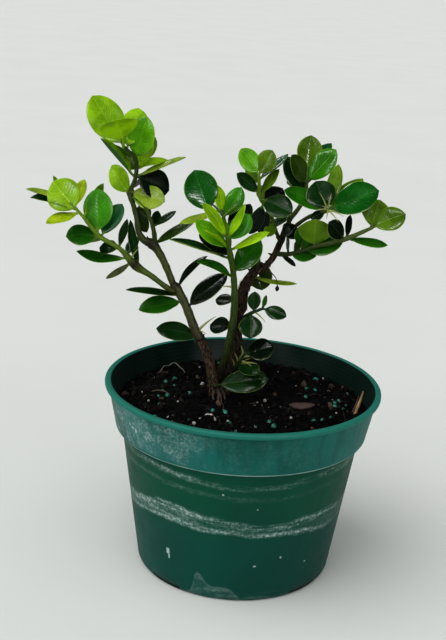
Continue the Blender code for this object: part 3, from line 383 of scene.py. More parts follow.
# Leaves: how far up its stem each springs (0 foot, 1 tip), the reach of its tip from its root as
# (right, up, near) for someone in front of the plant, its width, the way its upper side faces, in the
# same three directions, how many degrees it bows back on the way, and its fold where it isn't BLADE_FOLD.
LEAVES = {
    "upper_trunk": (
        (0.56, (23, 22, -5), 14, (-0.4, 0.3, 0.85), 15),
        (0.80, (-32, 1, 7), 8, (0, 0.8, 0.55), 0, 0.5),
        (0.69, (-26, -7, 6), 13, (0, 0.6, 0.8), 5, 0.4),
        (0.04, (-26, 4, 3), 13, (0, 0.5, 0.85), 12),
        (0.90, (17, 21, 0), 7, (-0.55, 0.55, 0.6), 45),
    ),
    "tall": (
        (0.99, (-20, 28, 4), 21, (0.3, 0.1, 0.95), 20),
        (0.97, (5, 26, -9), 17, (-0.2, 0, 1), 10),
        (0.88, (6, 24, 9), 18, (-0.3, 0.1, 0.95), 25),
        (0.86, (10, 17, -9), 10, (0.2, 0.3, -0.9), 15),
        (0.81, (8, 20, 4), 10, (0.5, 0.1, 0.85), 15),
        (0.76, (-21, 21, 6), 10, (0.55, 0.75, 0.35), -4, 0.9),
        (0.65, (-12, 17, -3), 13, (-0.5, 0.1, 0.8), 10),
        (0.77, (29, 12, 6), 9, (-0.1, 0.8, 0.5), -12, 0.4),
        (0.82, (18, 7, -6), 9, (0, 0.8, 0.5), 0, 0.5),
        (0.77, (20, -7, -4), 20, (0.2, 0.35, 0.9), 15),
        (0.67, (21, -6, 9), 15, (0, 0.2, 0.98), 15),
        (0.57, (8, -14, -8), 8, (0.3, -0.2, 0.9), 10),
        (0.29, (24, 15, 3), 10, (-0.2, 0.7, 0.6), 6),
        (0.59, (-3, 12, -16), 8, (-0.3, 0.3, -0.8), 10),
        (0.81, (-7, 13, -17), 10, (0, 0.3, -0.9), 10),
        (0.92, (-14, 5, -16), 11, (-0.2, 0.6, -0.7), 10),
        (0.70, (8, 9, -18), 11, (0.2, 0.5, -0.8), 10),
        (0.46, (5, 13, -10), 10, (0, 0.3, -0.8), 10),
    ),
    "tip": (
        (1.00, (-4, 8, 18), 23, (-0.3, 0.85, -0.44), 10),
    ),
    "short": (
        (0.45, (2, 11, -5), 6, (0.3, 0.2, 0.9), 10),
        (0.50, (13, 10, -2), 6, (-0.3, 0.5, 0.7), 0),
        (0.95, (-8, 6, 9), 6, (0.2, 0.8, 0.4), 10),
    ),
    "left": (
        (0.92, (-14, 15, 7), 20, (0.1, 0.2, 0.95), 20),
        (0.99, (-26, 7, -3), 8, (0, 0.85, 0.4), -8, 0.6),
        (0.93, (-26, 5, 3), 12, (-0.1, 0.85, 0.5), 10, 0.5),
        (0.90, (-17, -8, 10), 11, (0, 0.8, 0.5), 10),
        (0.97, (-13, 17, -8), 5, (-0.7, 0.2, 0.6), 5),
        (0.95, (4, 17, -7), 7, (0.2, 0.1, 0.9), 5),
        (0.86, (9, 21, -12), 7, (0.7, 0.1, 0.6), 5),
        (0.70, (-1, 26, 4), 17, (0.1, 0.1, 0.98), 15),
        (0.67, (11, 20, -3), 12, (-0.3, 0.2, 0.9), 10),
        (0.69, (-18, -2, 5), 15, (0, 0.5, 0.85), 15),
        (0.42, (-30, 2, 3), 11, (-0.1, 0.8, 0.6), -35),
        (0.52, (-12, 0, -7), 10, (0, 0.4, 0.9), 5),
        (0.52, (4, 17, 2), 7, (0.8, 0, 0.6), -5),
        (0.30, (-7, 28, 3), 7, (0.7, 0, 0.7), -20),
        (0.44, (5, 12, -10), 7, (-0.2, 0.3, 0.8), 5),
        (0.38, (-14, -11, 5), 6, (0, 0.8, 0.5), -25),
        (0.70, (-6, -4, -16), 11, (-0.3, 0.6, -0.7), 10),
        (0.94, (-8, 3, -16), 10, (-0.3, 0.5, -0.8), 10),
    ),
    "centre": (
        (0.97, (-15, 19, 8), 8, (0.3, 0.4, 0.85), 10),
        (0.97, (9, 20, 6), 7, (-0.6, 0.4, 0.7), -8),
        (0.96, (12, 16, -2), 12, (-0.1, 0.2, 0.95), 15),
        (0.96, (-5, 14, -8), 7, (-0.3, 0.3, -0.8), 5),
        (0.89, (22, 11, 9), 9, (-0.2, 0.7, 0.6), -6),
        (0.90, (-20, 15, 2), 13, (0.2, 0.6, 0.8), 10),
        (0.91, (-14, 8, 13), 9, (0.1, 0.9, 0.3), 5, 0.4),
        (0.83, (-36, 9, 3), 11, (0.15, 0.9, 0.35), -4, 0.5),
        (0.84, (-19, 14, -7), 12, (0.2, 0.5, 0.8), 10),
        (0.73, (15, 20, 1), 15, (-0.3, 0.3, 0.9), 10),
        (0.70, (-22, 8, 5), 9, (0.1, 0.75, 0.6), 30, 0.5),
        (0.56, (-11, 0, -6), 9, (0, 0.5, 0.8), 5),
        (0.40, (-13, 0, -8), 12, (0, 0.4, 0.8), 5),
    ),
    "back": (
        (0.98, (-10.5, 24, 4), 20, (0.1, 0.1, 0.98), 15),
        (0.80, (-3, 16, 1), 8, (0.5, 0.1, 0.8), 5),
        (0.88, (-21, -8, 3), 9, (0, 0.8, 0.5), -5),
        (0.72, (9.5, 19, -3), 11, (-0.1, 0.1, 0.98), 12),
        (0.74, (8, 7, 3), 4, (0, 1, 0.1), -5),
        (0.40, (11, 22, -6), 12, (-0.3, 0.2, 0.9), 10),
        (0.55, (-9, -2, -18), 10, (-0.3, 0.6, -0.6), 10),
        (0.78, (-3, 6, -17), 11, (0, 0.6, -0.8), 10),
        (0.60, (13, 13, -4), 9, (0, 0.5, 0.85), 10),
    ),
    "low": (
        (0.68, (0, 12, 2), 8, (0, 0.1, 1), 5),
        (0.96, (2, 8, -2), 4, (0.7, 0, 0.7), 0),
        (0.97, (14, -4, 3), 9, (0, 0.4, 0.9), 8),
        (0.60, (0, -15, 6), 14, (0, 0.2, 0.9), 12),
    ),
    "base": (
        (0.50, (13, 1, -4), 9, (0.1, 0.8, 0.6), 12),
        (0.95, (17, 5, 2), 15, (-0.1, 0.5, 0.8), 12),
        (0.45, (13, -4, 15), 10, (0, 0.5, 0.85), 12),
    ),
    "foot": (
        (0.97, (31, 6, 4), 15, (0, 0.4, 0.92), 12),
    ),
    "inner": (
        (0.97, (-11, 14, 3), 12, (0.1, 0.2, 0.95), 12),
        (0.97, (7, 14, 4), 12, (-0.1, 0.3, 0.9), 10),
        (0.91, (16, 16, -3), 8, (-0.5, 0.5, 0.6), 0),
        (0.74, (-14, 10, 4), 10, (0.3, 0.4, 0.8), 8),
        (0.73, (10, 14, 5), 8, (-0.5, 0.4, 0.7), 0),
        (0.60, (0, 12, -13), 9, (0, 0.3, -0.9), 8),
        (0.88, (-8, 8, -13), 10, (-0.2, 0.4, -0.8), 8),
        (0.66, (18, -8, 7), 15, (0, 0.35, 0.93), 12),
        (0.58, (10, 10, -3), 13, (-0.3, 0.3, 0.9), 10),
        (0.30, (-3, -9, 5), 7, (0, 0.2, 0.95), 8),
        (0.60, (-7, -18, -7), 9, (0.3, 0, 0.9), 10),
        (0.50, (-4, -14, -6), 8, (0.2, 0, 0.95), 8),
    ),
    "top": (
        (0.93, (1, 21, 3), 15, (0, 0.05, 1), 12),
        (0.78, (16, 19, 8), 15, (-0.2, 0.3, 0.9), 12),
        (0.96, (14, 17, -6), 9, (-0.2, 0.4, 0.8), 8),
        (0.58, (-13, 22, 5), 14, (0.4, 0.2, 0.8), 10),
        (0.74, (-10, 16, 9), 13, (0.35, 0.3, 0.85), 10),
        (0.76, (11, 9, -16), 11, (0.3, 0.5, -0.6), 10),
        (0.58, (-10, 9, -16), 11, (-0.3, 0.5, -0.7), 10),
        (0.92, (-6, 10, -15), 11, (-0.1, 0.5, -0.8), 10),
        (0.28, (-19, -10, 1), 8, (0.2, 0.8, 0.5), 0),
    ),
    "outer": (
        (0.99, (28, 12, 6), 22, (-0.1, 0.5, 0.85), 12),
        (0.98, (20, 20, -6), 13, (-0.3, 0.6, 0.7), 5),
        (0.99, (-8, 16, 1), 19, (0.1, 0.3, 0.9), 12),
        (0.96, (-25, 10, 4), 14, (0.1, 0.6, 0.8), 8),
        (0.97, (6, 28, -9), 9, (-0.3, 0, 0.9), 6),
        (0.95, (10, 2, -17), 11, (0.3, 0.6, -0.6), 10),
        (0.95, (-8, -5, -3), 7, (0, 0.5, 0.85), 5),
        (0.36, (-7, -7, 0), 11, (0.1, 0, 1), 8),
    ),
    "lower_branch": (
        (1.00, (18, 8.5, 3), 15, (-0.1, 0.4, 0.9), 8),
        (0.98, (5, 17, -4), 17, (0.1, 0.2, 0.9), 8),
        (0.75, (23, -3, 2), 8, (0, 0.7, 0.7), -15),
        (0.72, (-10, 9, 4), 13, (0.2, 0.4, 0.8), 10),
        (0.30, (22, 5, 8), 13, (0, 0.4, 0.9), 12),
        (0.42, (-1, 15, 12), 19, (0, 0.75, -0.6), -10),
        (0.28, (2.5, 16, 10), 12, (0, 0.1, 1), 8),
        (0.16, (15, -1, 6), 11, (0, 0.6, 0.8), 10),
        (0.74, (2, 14, -5), 5, (0.5, 0, 0.85), 5),
        (0.48, (10, 1, -14), 10, (0.2, 0.6, -0.6), 8),
        (0.74, (5, 0, -16), 10, (0.3, 0.6, -0.6), 8),
        (0.06, (9, -7, 4), 4, (0.2, 0.6, 0.8), 10),
        (0.14, (-2, 10, 14), 4, (0.7, 0, 0.7), 0),
        (0.20, (4, 8, 8), 5, (-0.3, 0.2, 0.9), 5),
    ),
    "spur": (
        (0.97, (3, -19, -2), 15, (0, 0.2, 0.98), 8),
        (0.12, (26, -3, 3), 8, (0, 0.95, 0.4), -30),
    ),
}

# Thorns: how far up the stem, the reach of the point and the radius at the root. The last eight of the
# base sprig are young ones that the photo shows at the plant's foot.
THORNS = {
    "upper_trunk": ((0.14, (11, 10, 1), 0.8), (0.18, (7, -2, 3), 0.5)),
    "left": ((0.40, (5, 7, 2), 0.6),),
    "centre": ((0.64, (-8, 0, 2), 0.6),),
    "outer": (
        (0.99, (-6, 9, 7), 0.55), (0.99, (1, 9, 7), 0.55), (0.99, (9, -4, 6), 0.55),
        (0.99, (-1, -6, 7), 0.5), (0.99, (6, -7, 5), 0.5), (0.99, (-7, -1, 6), 0.5),
    ),
    "low": ((0.70, (7, -6, 3), 0.5),),
    "base": (
        (0.40, (8, 5, 9), 0.5), (0.45, (3, 8, 7), 0.5), (0.50, (11, 1, 9), 0.5), (0.40, (12, 2, 11), 0.5),
        (0.30, (-2, 5, 4), 0.6), (0.42, (3, 6, 4), 0.6), (0.55, (-3, 6, 5), 0.6), (0.60, (5, 5, 4), 0.6),
        (0.72, (1, 6, 5), 0.6), (0.80, (7, 1, 5), 0.6), (0.88, (-2, 6, 5), 0.6), (0.66, (7, -3, 6), 0.6),
    ),
}

# Leaf tones, as linear colours
LEAF_TONES = {
    "lime": (0.250, 0.480, 0.001),
    "yellow": (0.320, 0.450, 0.010),
    "fresh": (0.120, 0.375, 0.002),
    "mid": (0.042, 0.230, 0.002),
    "emerald": (0.004, 0.100, 0.005),
    "deep": (0.014, 0.112, 0.002),
    "dark": (0.005, 0.036, 0.005),
    # night is nearly black: the old leaves' dark green with painted shade on it, for leaves deep in and
    # under the crown.
    "night": (0.0015, 0.009, 0.0025),
    "teal": (0.005, 0.075, 0.018),
    "moss": (0.030, 0.070, 0.006),
    "olive": (0.090, 0.190, 0.004),
    "pale": (0.250, 0.370, 0.030),
    "ash": (0.085, 0.100, 0.040),
}

# Each leaf's upper tone, and after the stroke its lower one, in the order of LEAVES
LEAF_LOOKS = {
    "upper_trunk": "night dark/pale deep dark night",
    # The sixth tall leaf's lower tone, deep, is painted shade on an underside that is light in itself.
    "tall": (
        "lime lime fresh/lime olive/olive lime lime/deep lime pale/pale lime night pale/pale moss moss"
        " dark deep mid dark dark"
    ),
    "tip": "lime/lime",
    "short": "dark dark deep",
    "left": (
        "lime pale/olive dark/pale yellow olive yellow/olive olive mid/fresh teal deep deep dark dark"
        " dark/moss dark ash/ash deep deep"
    ),
    "centre": "lime lime mid deep lime fresh lime dark/pale night deep deep/lime night night",
    "back": "emerald lime pale/olive mid/olive pale dark/pale deep deep night",
    "low": "dark deep dark dark",
    "base": "night night dark/deep",
    "foot": "dark/lime",
    "inner": "fresh olive teal dark/olive olive/pale mid deep dark night olive/pale night night",
    "top": "olive mid/fresh teal dark/pale moss deep deep deep dark",
    "outer": "emerald olive/pale dark/teal deep olive/pale deep dark night",
    "lower_branch": (
        "olive/pale olive/pale deep night deep/olive dark/olive deep/olive deep/olive night deep dark night"
        " night moss"
    ),
    "spur": "moss/olive pale/pale",
}
# The lower tone that goes with an upper one where no other is given
UNDERSIDES = {
    "lime": "lime", "yellow": "lime", "fresh": "fresh", "mid": "olive", "emerald": "olive", "deep": "olive",
    "dark": "moss", "night": "moss", "teal": "teal", "moss": "moss", "olive": "olive", "pale": "pale",
    "ash": "ash",
}

# Stem tones at foot and tip
STEM_TONES = {
    "upper_trunk": ((0.055, 0.050, 0.022), (0.070, 0.085, 0.024)),
    "tall": ((0.082, 0.100, 0.024), (0.030, 0.060, 0.010)),
    "tip": ((0.150, 0.320, 0.020), (0.200, 0.420, 0.020)),
    "short": ((0.040, 0.060, 0.018), (0.080, 0.130, 0.020)),
    "left": ((0.072, 0.082, 0.024), (0.180, 0.330, 0.015)),
    # The centre stem's nearly black foot is darker old wood with painted shade under the crown on it.
    "centre": ((0.010, 0.014, 0.004), (0.070, 0.135, 0.012)),
    "back": ((0.060, 0.110, 0.022), (0.080, 0.180, 0.020)),
    "low": ((0.015, 0.035, 0.010), (0.018, 0.045, 0.012)),
    "base": ((0.018, 0.028, 0.010), (0.030, 0.060, 0.015)),
    "foot": ((0.050, 0.060, 0.022), (0.050, 0.070, 0.025)),
    "inner": ((0.018, 0.035, 0.010), (0.150, 0.270, 0.020)),
    "top": ((0.025, 0.036, 0.012), (0.080, 0.150, 0.020)),
    "outer": ((0.030, 0.040, 0.015), (0.080, 0.120, 0.020)),
    "lower_branch": ((0.030, 0.045, 0.015), (0.080, 0.130, 0.022)),
    "spur": ((0.050, 0.060, 0.022), (0.060, 0.080, 0.025)),
}

# Nodes and the stems in each
SHOOTS = {
    "trunk_shoot": ("upper_trunk",),
    "tall_shoot": ("tall", "tip", "short"),
    "left_shoot": ("left",),
    "centre_shoot": ("centre",),
    "back_twig": ("back",),
    "low_sprig": ("low",),
    "base_sprig": ("base",),
    "foot_leaf": ("foot",),
    "inner_shoot": ("inner",),
    "top_shoot": ("top",),
    "outer_shoot": ("outer",),
    "lower_branch": ("lower_branch",),
    "spur_twig": ("spur",),
}
YOUNG = ("tall_shoot", "left_shoot", "centre_shoot", "inner_shoot")


def view_to_world(direction):
    """Turns (right, up, near), as seen from in front and a little above, about the right-hand axis."""
    tilt = math.radians(SEEN_FROM_ABOVE_DEG)
    right, up, near = direction
    return np.array([
        right,
        up * math.sin(tilt) - near * math.cos(tilt),
        up * math.cos(tilt) + near * math.sin(tilt),
    ])


def lengths_along(path):
    """How far along the path each of its points lies."""
    steps = np.linalg.norm(np.diff(path[:, :3], axis=0), axis=1)
    return np.concatenate([[0.0], np.cumsum(steps)])


def place_along(path, share):
    """The row at this share of a path's length, straight between its points, and its end's beyond an end."""
    path = np.array(path, float)
    reached = lengths_along(path)
    return np.array([np.interp(share * reached[-1], reached, values) for values in path.T])


def smooth_path(points, steps=6):
    """Points along a Catmull-Rom curve: each span is a cubic through its ends, level with its neighbours."""
    p = np.array(points, float)
    p = np.vstack([2 * p[0] - p[1], p, 2 * p[-1] - p[-2]])
    a, b, c, d = (p[i:len(p) - 3 + i, None] for i in range(4))
    t = np.linspace(0.0, 1.0, steps, endpoint=False)[None, :, None]
    spans = 0.5 * (2 * b + (c - a) * t + (2 * a - 5 * b + 4 * c - d) * t**2 + (3 * b - 3 * c + d - a) * t**3)
    return np.vstack([spans.reshape(-1, p.shape[1]), p[-2]])


def smooth_step(low, high, value):
    """0 below low, 1 above high, and the cubic 3t2 - 2t3 between."""
    t = np.clip((value - low) / (high - low), 0.0, 1.0)
    return t * t * (3 - 2 * t)


def lumps(x, y, cell, seed):
    """Random heights from -1 to 1 on a square lattice of this cell, eased between its corners."""
    size = LATTICE_CELLS
    heights = np.random.default_rng(seed).uniform(-1.0, 1.0, (size, size))
    gx, gy = np.asarray(x) / cell + size, np.asarray(y) / cell + size
    ix, iy = np.floor(gx).astype(int), np.floor(gy).astype(int)
    fx, fy = smooth_step(0, 1, gx - ix), smooth_step(0, 1, gy - iy)
    x0, x1, y0, y1 = ix % size, (ix + 1) % size, iy % size, (iy + 1) % size
    near = heights[x0, y0] * (1 - fy) + heights[x0, y1] * fy
    far = heights[x1, y0] * (1 - fy) + heights[x1, y1] * fy
    return near * (1 - fx) + far * fx


class Shells:
    """Closed shells gathered into one mesh, with a tone and a skin place at each point."""

    def __init__(self):
        self.points, self.faces, self.tones, self.skins, self.count = [], [], [], [], 0

    def put(self, points, faces, tones, skins):
        """Adds points with their faces, which number them from 0."""
        points = np.asarray(points, float)
        self.points.append(points)
        self.faces += [face + self.count for face in faces]
        self.tones.append(np.broadcast_to(np.asarray(tones, float), points.shape))
        self.skins.append(np.broadcast_to(np.asarray(skins, float), points.shape))
        self.count += len(points)

    def stack(self, rings, tones, skins=NO_SKIN):
        """A skin over rings of points, (ring, place round it, xyz), with a pole in the middle of each end.

        The rings run counter-clockwise for someone who looks back from the last ring to the first.
        """
        count, around = rings.shape[:2]
        tones = np.broadcast_to(np.asarray(tones, float), rings.shape)
        skins = np.broadcast_to(np.asarray(skins, float), rings.shape)
        first, second = np.meshgrid(np.arange(count - 1) * around, np.arange(around), indexing="ij")
        here, turn = first + second, first + (second + 1) % around
        quads = np.stack([here, turn, turn + around, here + around], -1).reshape(-1, 4)
        k = np.arange(around)
        low, high = count * around, count * around + 1
        foot = np.stack([np.full(around, low), (k + 1) % around, k], -1)
        last = (count - 1) * around
        head = np.stack([np.full(around, high), last + k, last + (k + 1) % around], -1)

        def with_poles(values):
            ends = values[[0, -1]].mean(axis=1)
            return np.vstack([values.reshape(-1, 3), ends])

        self.put(with_poles(rings), [quads, foot, head], with_poles(tones), with_poles(skins))

    def tube(self, path, sides, tones):
        """A tube along (x, y, z, radius) rows."""
        self.stack(tube_rings(path, sides), tones, tube_skin(path, sides))

    def make(self, name, finish, slot_name, node):
        """The finished piece: it rides on the object, and stands for this CAD node."""
        points = np.vstack(self.points) * MM
        sizes = np.concatenate([np.full(len(face), face.shape[1]) for face in self.faces])
        corners = np.concatenate([face.ravel() for face in self.faces])
        mesh = bpy.data.meshes.new(name)
        mesh.vertices.add(len(points))
        mesh.vertices.foreach_set("co", points.ravel())
        mesh.loops.add(len(corners))
        mesh.loops.foreach_set("vertex_index", corners)
        mesh.polygons.add(len(sizes))
        mesh.polygons.foreach_set("loop_start", np.concatenate([[0], np.cumsum(sizes)[:-1]]))
        mesh.update(calc_edges=True)
        tone = mesh.attributes.new("tone", "FLOAT_COLOR", "POINT")
        tones = np.vstack(self.tones)
        tone.data.foreach_set("color", np.column_stack([tones, np.ones(len(tones))]).ravel())
        skin = mesh.attributes.new("skin", "FLOAT_VECTOR", "POINT")
        skin.data.foreach_set("vector", np.vstack(self.skins).ravel())
        mesh.shade_smooth()
        mesh.materials.append(finish)
        piece = bpy.data.objects.new(name, mesh)
        bpy.context.scene.collection.objects.link(piece)
        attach(piece, "root")
        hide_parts(node)


def spoke_angles(sides):
    """The angles of a ring's points."""
    return np.linspace(0.0, 2 * math.pi, sides, endpoint=False)


def tube_rings(path, sides, swell=1.0):
    """Circles square to the path, one at each (x, y, z, radius) row.

    The first spoke of a circle is the path's heading crossed with the axis that the path runs along least.
    swell, (ring, spoke), multiplies the radius.
    """
    centres, radii = path[:, :3], path[:, 3]
    heading = np.gradient(centres, axis=0)
    heading /= np.linalg.norm(heading, axis=1, keepdims=True)
    axis = np.eye(3)[np.argmin(np.abs(heading).max(axis=0))]
    first = np.cross(axis, heading)
    first /= np.linalg.norm(first, axis=1, keepdims=True)
    second = np.cross(heading, first)
    angle = spoke_angles(sides)
    reach = np.broadcast_to(radii[:, None] * swell, (len(path), sides))
    spokes = first[:, None] * np.cos(angle)[None, :, None] + second[:, None] * np.sin(angle)[None, :, None]
    return centres[:, None] + spokes * reach[:, :, None]


def tube_skin(path, sides):
    """(cosine, sine, length so far in mm) for each point of a tube's rings."""
    angle = spoke_angles(sides)
    shape = (len(path), sides)
    return np.stack([
        np.broadcast_to(np.cos(angle), shape),
        np.broadcast_to(np.sin(angle), shape),
        np.broadcast_to(lengths_along(path)[:, None], shape),
    ], -1)


def barky(path, sides, rough, seed):
    """Rings of a tube and their skin places. The radius is multiplied by 1 + rough * (ridges + 0.8 knobs).

    Ridges are lumps drawn out along the tube, and knobs are shorter ones.
    """
    skin = tube_skin(path, sides)
    angle = spoke_angles(sides)[None, :]
    far = skin[..., 2]
    ridges = lumps(np.cos(angle) * 3 + far * 0.12, np.sin(angle) * 3 + far * 0.05, 1.0, seed)
    knobs = lumps(np.cos(angle) * 2 + 0 * far, far * 0.30, 1.0, seed + 1)
    return tube_rings(path, sides, 1 + rough * ridges + rough * 0.8 * knobs), skin


def thorn_path(root, reach, radius):
    """A spike's path, raised a little in its middle. Its radius falls with a power of what is left."""
    tip = root + view_to_world(reach)
    t = np.linspace(0.0, 1.0, THORN_RINGS)
    rise = np.array([0.0, 0.0, THORN_RISE]) * np.linalg.norm(tip - root)
    centres = root + (tip - root) * t[:, None] + rise * (t * (1 - t))[:, None] * 4
    return np.column_stack([centres, radius * THORN_SWELL * (1 - t) ** THORN_TAPER + THORN_POINT])


def blade_rings(root, reach, width, face, bow_deg, fold_slope, rng):
    """Rings round a leaf and their skin places (across, along, side).

    The midrib is an arc of the bow angle over the reach. Across it a ring is a lens, with half-width
    w(u) = width/2 * sin(pi u^a)^b and a small pointed tip. Each half rises from a groove on the midrib,
    and its edge turns down by the fourth power of the distance, with a slow wave along it.
    """
    chord = view_to_world(reach)
    length = np.linalg.norm(chord)
    along = chord / length
    normal = view_to_world(face)
    normal -= along * normal.dot(along)
    normal /= np.linalg.norm(normal)
    side = np.cross(normal, along)

    petiole = np.linspace(0.0, PETIOLE_SHARE, PETIOLE_RINGS + 1)[:-1]
    eased = (1 - np.cos(np.linspace(0.0, math.pi, BLADE_RINGS))) / 2
    s = np.concatenate([petiole, PETIOLE_SHARE + (1 - PETIOLE_SHARE) * eased * BLADE_END])
    u = np.clip((s - PETIOLE_SHARE) / (1 - PETIOLE_SHARE), 0.0, 1.0)
    body = np.clip(u / TIP_START, 0.0, 1.0)
    half = width / 2 * np.sin(math.pi * body**BLADE_TIPWARD) ** BLADE_BLUNTNESS
    half = np.maximum(half, TIP_HALF * np.clip((1 - u) / (1 - TIP_START), 0.0, 1.0))
    half = np.where(u < 0.5, np.maximum(half, STALK_RADIUS), half)
    open_blade = smooth_step(0.0, OPENING_SHARE, u)
    thick = 2 * STALK_RADIUS + (BLADE_THICKNESS - 2 * STALK_RADIUS) * open_blade
    thick = np.minimum(thick, 2 * half)

    across = np.concatenate([LENS_PLACES, -LENS_PLACES[-2::-1]])
    w = np.concatenate([across, across[-2:0:-1]])
    layer = np.sqrt(1 - w**2) * np.where(np.arange(len(w)) < len(across), 1.0, -1.0)
    fold = fold_slope * (np.sqrt(w**2 + FOLD_ROUNDING**2) - FOLD_ROUNDING)
    turn_down = EDGE_TURN * w**4
    wave_size, wave_start = rng.uniform(*WAVE_SIZES), rng.uniform(0, 2 * math.pi)
    wave_turn = 2 * math.pi * EDGE_WAVES * u[:, None] + wave_start + EDGE_SHIFT * np.sign(w)
    wave = wave_size * w[None, :] ** 2 * np.sin(wave_turn)
    groove = GROOVE_DEPTH * np.exp(-((w / GROOVE_HALF) ** 2))
    lift = half[:, None] * open_blade[:, None] * (fold - turn_down + wave)
    lift = lift + thick[:, None] / 2 * layer
    lift = lift - open_blade[:, None] * groove * np.sin(math.pi * body)[:, None]

    bow = math.radians(bow_deg) or NEARLY_FLAT
    radius = length / (2 * math.sin(bow / 2))
    turned = bow * (s - 0.5)
    ahead = radius * (np.sin(turned) + math.sin(bow / 2))
    rise = radius * (np.cos(turned) - math.cos(bow / 2))
    sway = rng.uniform(-MOST_SWAY, MOST_SWAY) * length * np.sin(math.pi * s)
    middle = root + along * ahead[:, None] + normal * rise[:, None] + side * sway[:, None]
    up = normal * np.cos(turned)[:, None] + along * np.sin(turned)[:, None]
    twist = rng.uniform(-MOST_TWIST, MOST_TWIST) * (u - UNTWISTED_PLACE)
    leaning_side = side * np.cos(twist)[:, None] + up * np.sin(twist)[:, None]
    leaning_up = up * np.cos(twist)[:, None] - side * np.sin(twist)[:, None]
    rings = (middle[:, None] + leaning_side[:, None] * (half[:, None] * w)[:, :, None]
             + leaning_up[:, None] * lift[:, :, None])
    skin = np.stack([
        np.broadcast_to(w, lift.shape),
        np.broadcast_to(u[:, None], lift.shape),
        np.broadcast_to(layer, lift.shape),
    ], -1)
    return rings, skin


class Finish:
    """A Principled material, with short calls that add nodes which end at its shader."""

    def __init__(self, name, **constants):
        self.material = bpy.data.materials.new(name)
        self.material.use_nodes = True
        self.tree = self.material.node_tree
        self.shader = self.tree.nodes["Principled BSDF"]
        for socket, value in constants.items():
            self.shader.inputs[socket.replace("_", " ")].default_value = value

    def add(self, kind, **settings):
        node = self.tree.nodes.new(kind)
        for key, value in settings.items():
            setattr(node, key, value)
        return node

    def feed(self, socket, value):
        if isinstance(value, bpy.types.NodeSocket):
            self.tree.links.new(value, socket)
        elif isinstance(value, tuple) and len(value) == 3 and socket.type == "RGBA":
            socket.default_value = (*value, 1.0)
        else:
            socket.default_value = value

    def attribute(self, name, output):
        return self.add("ShaderNodeAttribute", attribute_name=name).outputs[output]

    @functools.cached_property
    def place(self):
        """Each point's place in the object's own space, in metres."""
        return self.add("ShaderNodeTexCoord").outputs["Object"]

    @functools.cached_property
    def tone(self):
        """Each point's own colour."""
        return self.attribute("tone", "Color")

    @functools.cached_property
    def skin(self):
        """Each point's place on the skin of its leaf, stem or fibre."""
        return self.attribute("skin", "Vector")

    def parts(self, vector):
        node = self.add("ShaderNodeSeparateXYZ")
        self.feed(node.inputs[0], vector)
        return node.outputs

    def stretch(self, vector, scale):
        node = self.add("ShaderNodeMapping")
        self.feed(node.inputs["Vector"], vector)
        node.inputs["Scale"].default_value = scale
        return node.outputs[0]

    def noise(self, scale, vector=None, detail=3.0, roughness=0.55, distortion=0.0):
        node = self.add("ShaderNodeTexNoise")
        self.feed(node.inputs["Vector"], vector or self.place)
        settings = {"Scale": scale, "Detail": detail, "Roughness": roughness, "Distortion": distortion}
        for key, value in settings.items():
            node.inputs[key].default_value = value
        return node.outputs["Fac"]

    def cells(self, scale, feature="DISTANCE_TO_EDGE"):
        node = self.add("ShaderNodeTexVoronoi", feature=feature)
        self.feed(node.inputs["Vector"], self.place)
        node.inputs["Scale"].default_value = scale
        return node.outputs["Distance"]

    def calc(self, operation, *values):
        node = self.add("ShaderNodeMath", operation=operation)
        for socket, value in zip(node.inputs, values):
            self.feed(socket, value)
        return node.outputs[0]

    def in_turn(self, operation, values):
        return functools.reduce(lambda first, second: self.calc(operation, first, second), values)

    def product(self, *values):
        return self.in_turn("MULTIPLY", values)

    def total(self, *values):
        return self.in_turn("ADD", values)

    def strongest(self, *values):
        return self.in_turn("MAXIMUM", values)

    def less(self, first, second):
        return self.calc("SUBTRACT", first, second)

    def away_from(self, middle, value):
        """How far value is from the middle, either way."""
        return self.calc("ABSOLUTE", self.less(value, middle))

    def span(self, value, low, high, to_low=0.0, to_high=1.0):
        """value's place between low and high, eased and carried to another range."""
        node = self.add("ShaderNodeMapRange", interpolation_type="SMOOTHSTEP")
        settings = {"Value": value, "From Min": low, "From Max": high, "To Min": to_low, "To Max": to_high}
        for key, given in settings.items():
            self.feed(node.inputs[key], given)
        return node.outputs[0]

    def line(self, turn_share, points, highest=1.0):
        """A smooth line through (degrees from the front, value) points, level round the back."""
        node = self.add("ShaderNodeFloatCurve")
        self.feed(node.inputs["Value"], turn_share)
        marks = node.mapping.curves[0].points
        for degrees, value in points:
            marks.new(0.5 + degrees / 360.0, value / highest)
        marks[0].location[1] = marks[len(marks) - 1].location[1] = points[-1][1] / highest
        node.mapping.update()
        return self.product(node.outputs[0], highest)

    def blend(self, share, first, second, blend_type="MIX"):
        node = self.add("ShaderNodeMix", data_type="RGBA", blend_type=blend_type)
        self.feed(node.inputs[0], share)
        self.feed(node.inputs[6], first)
        self.feed(node.inputs[7], second)
        return node.outputs[2]

    def times(self, first, second):
        return self.blend(1.0, first, second, "MULTIPLY")

    def shaded(self, light_share, dark, light):
        """Each point's tone, times dark where the share is 0 and times light where it is 1."""
        return self.times(self.tone, self.blend(light_share, dark, light))

    def colour(self, value):
        self.feed(self.shader.inputs["Base Color"], value)

    def roughness(self, value):
        self.feed(self.shader.inputs["Roughness"], value)

    def bump(self, height, distance, strength):
        node = self.add("ShaderNodeBump")
        self.feed(node.inputs["Height"], height)
        node.inputs["Distance"].default_value = distance
        node.inputs["Strength"].default_value = strength
        self.feed(self.shader.inputs["Normal"], node.outputs[0])


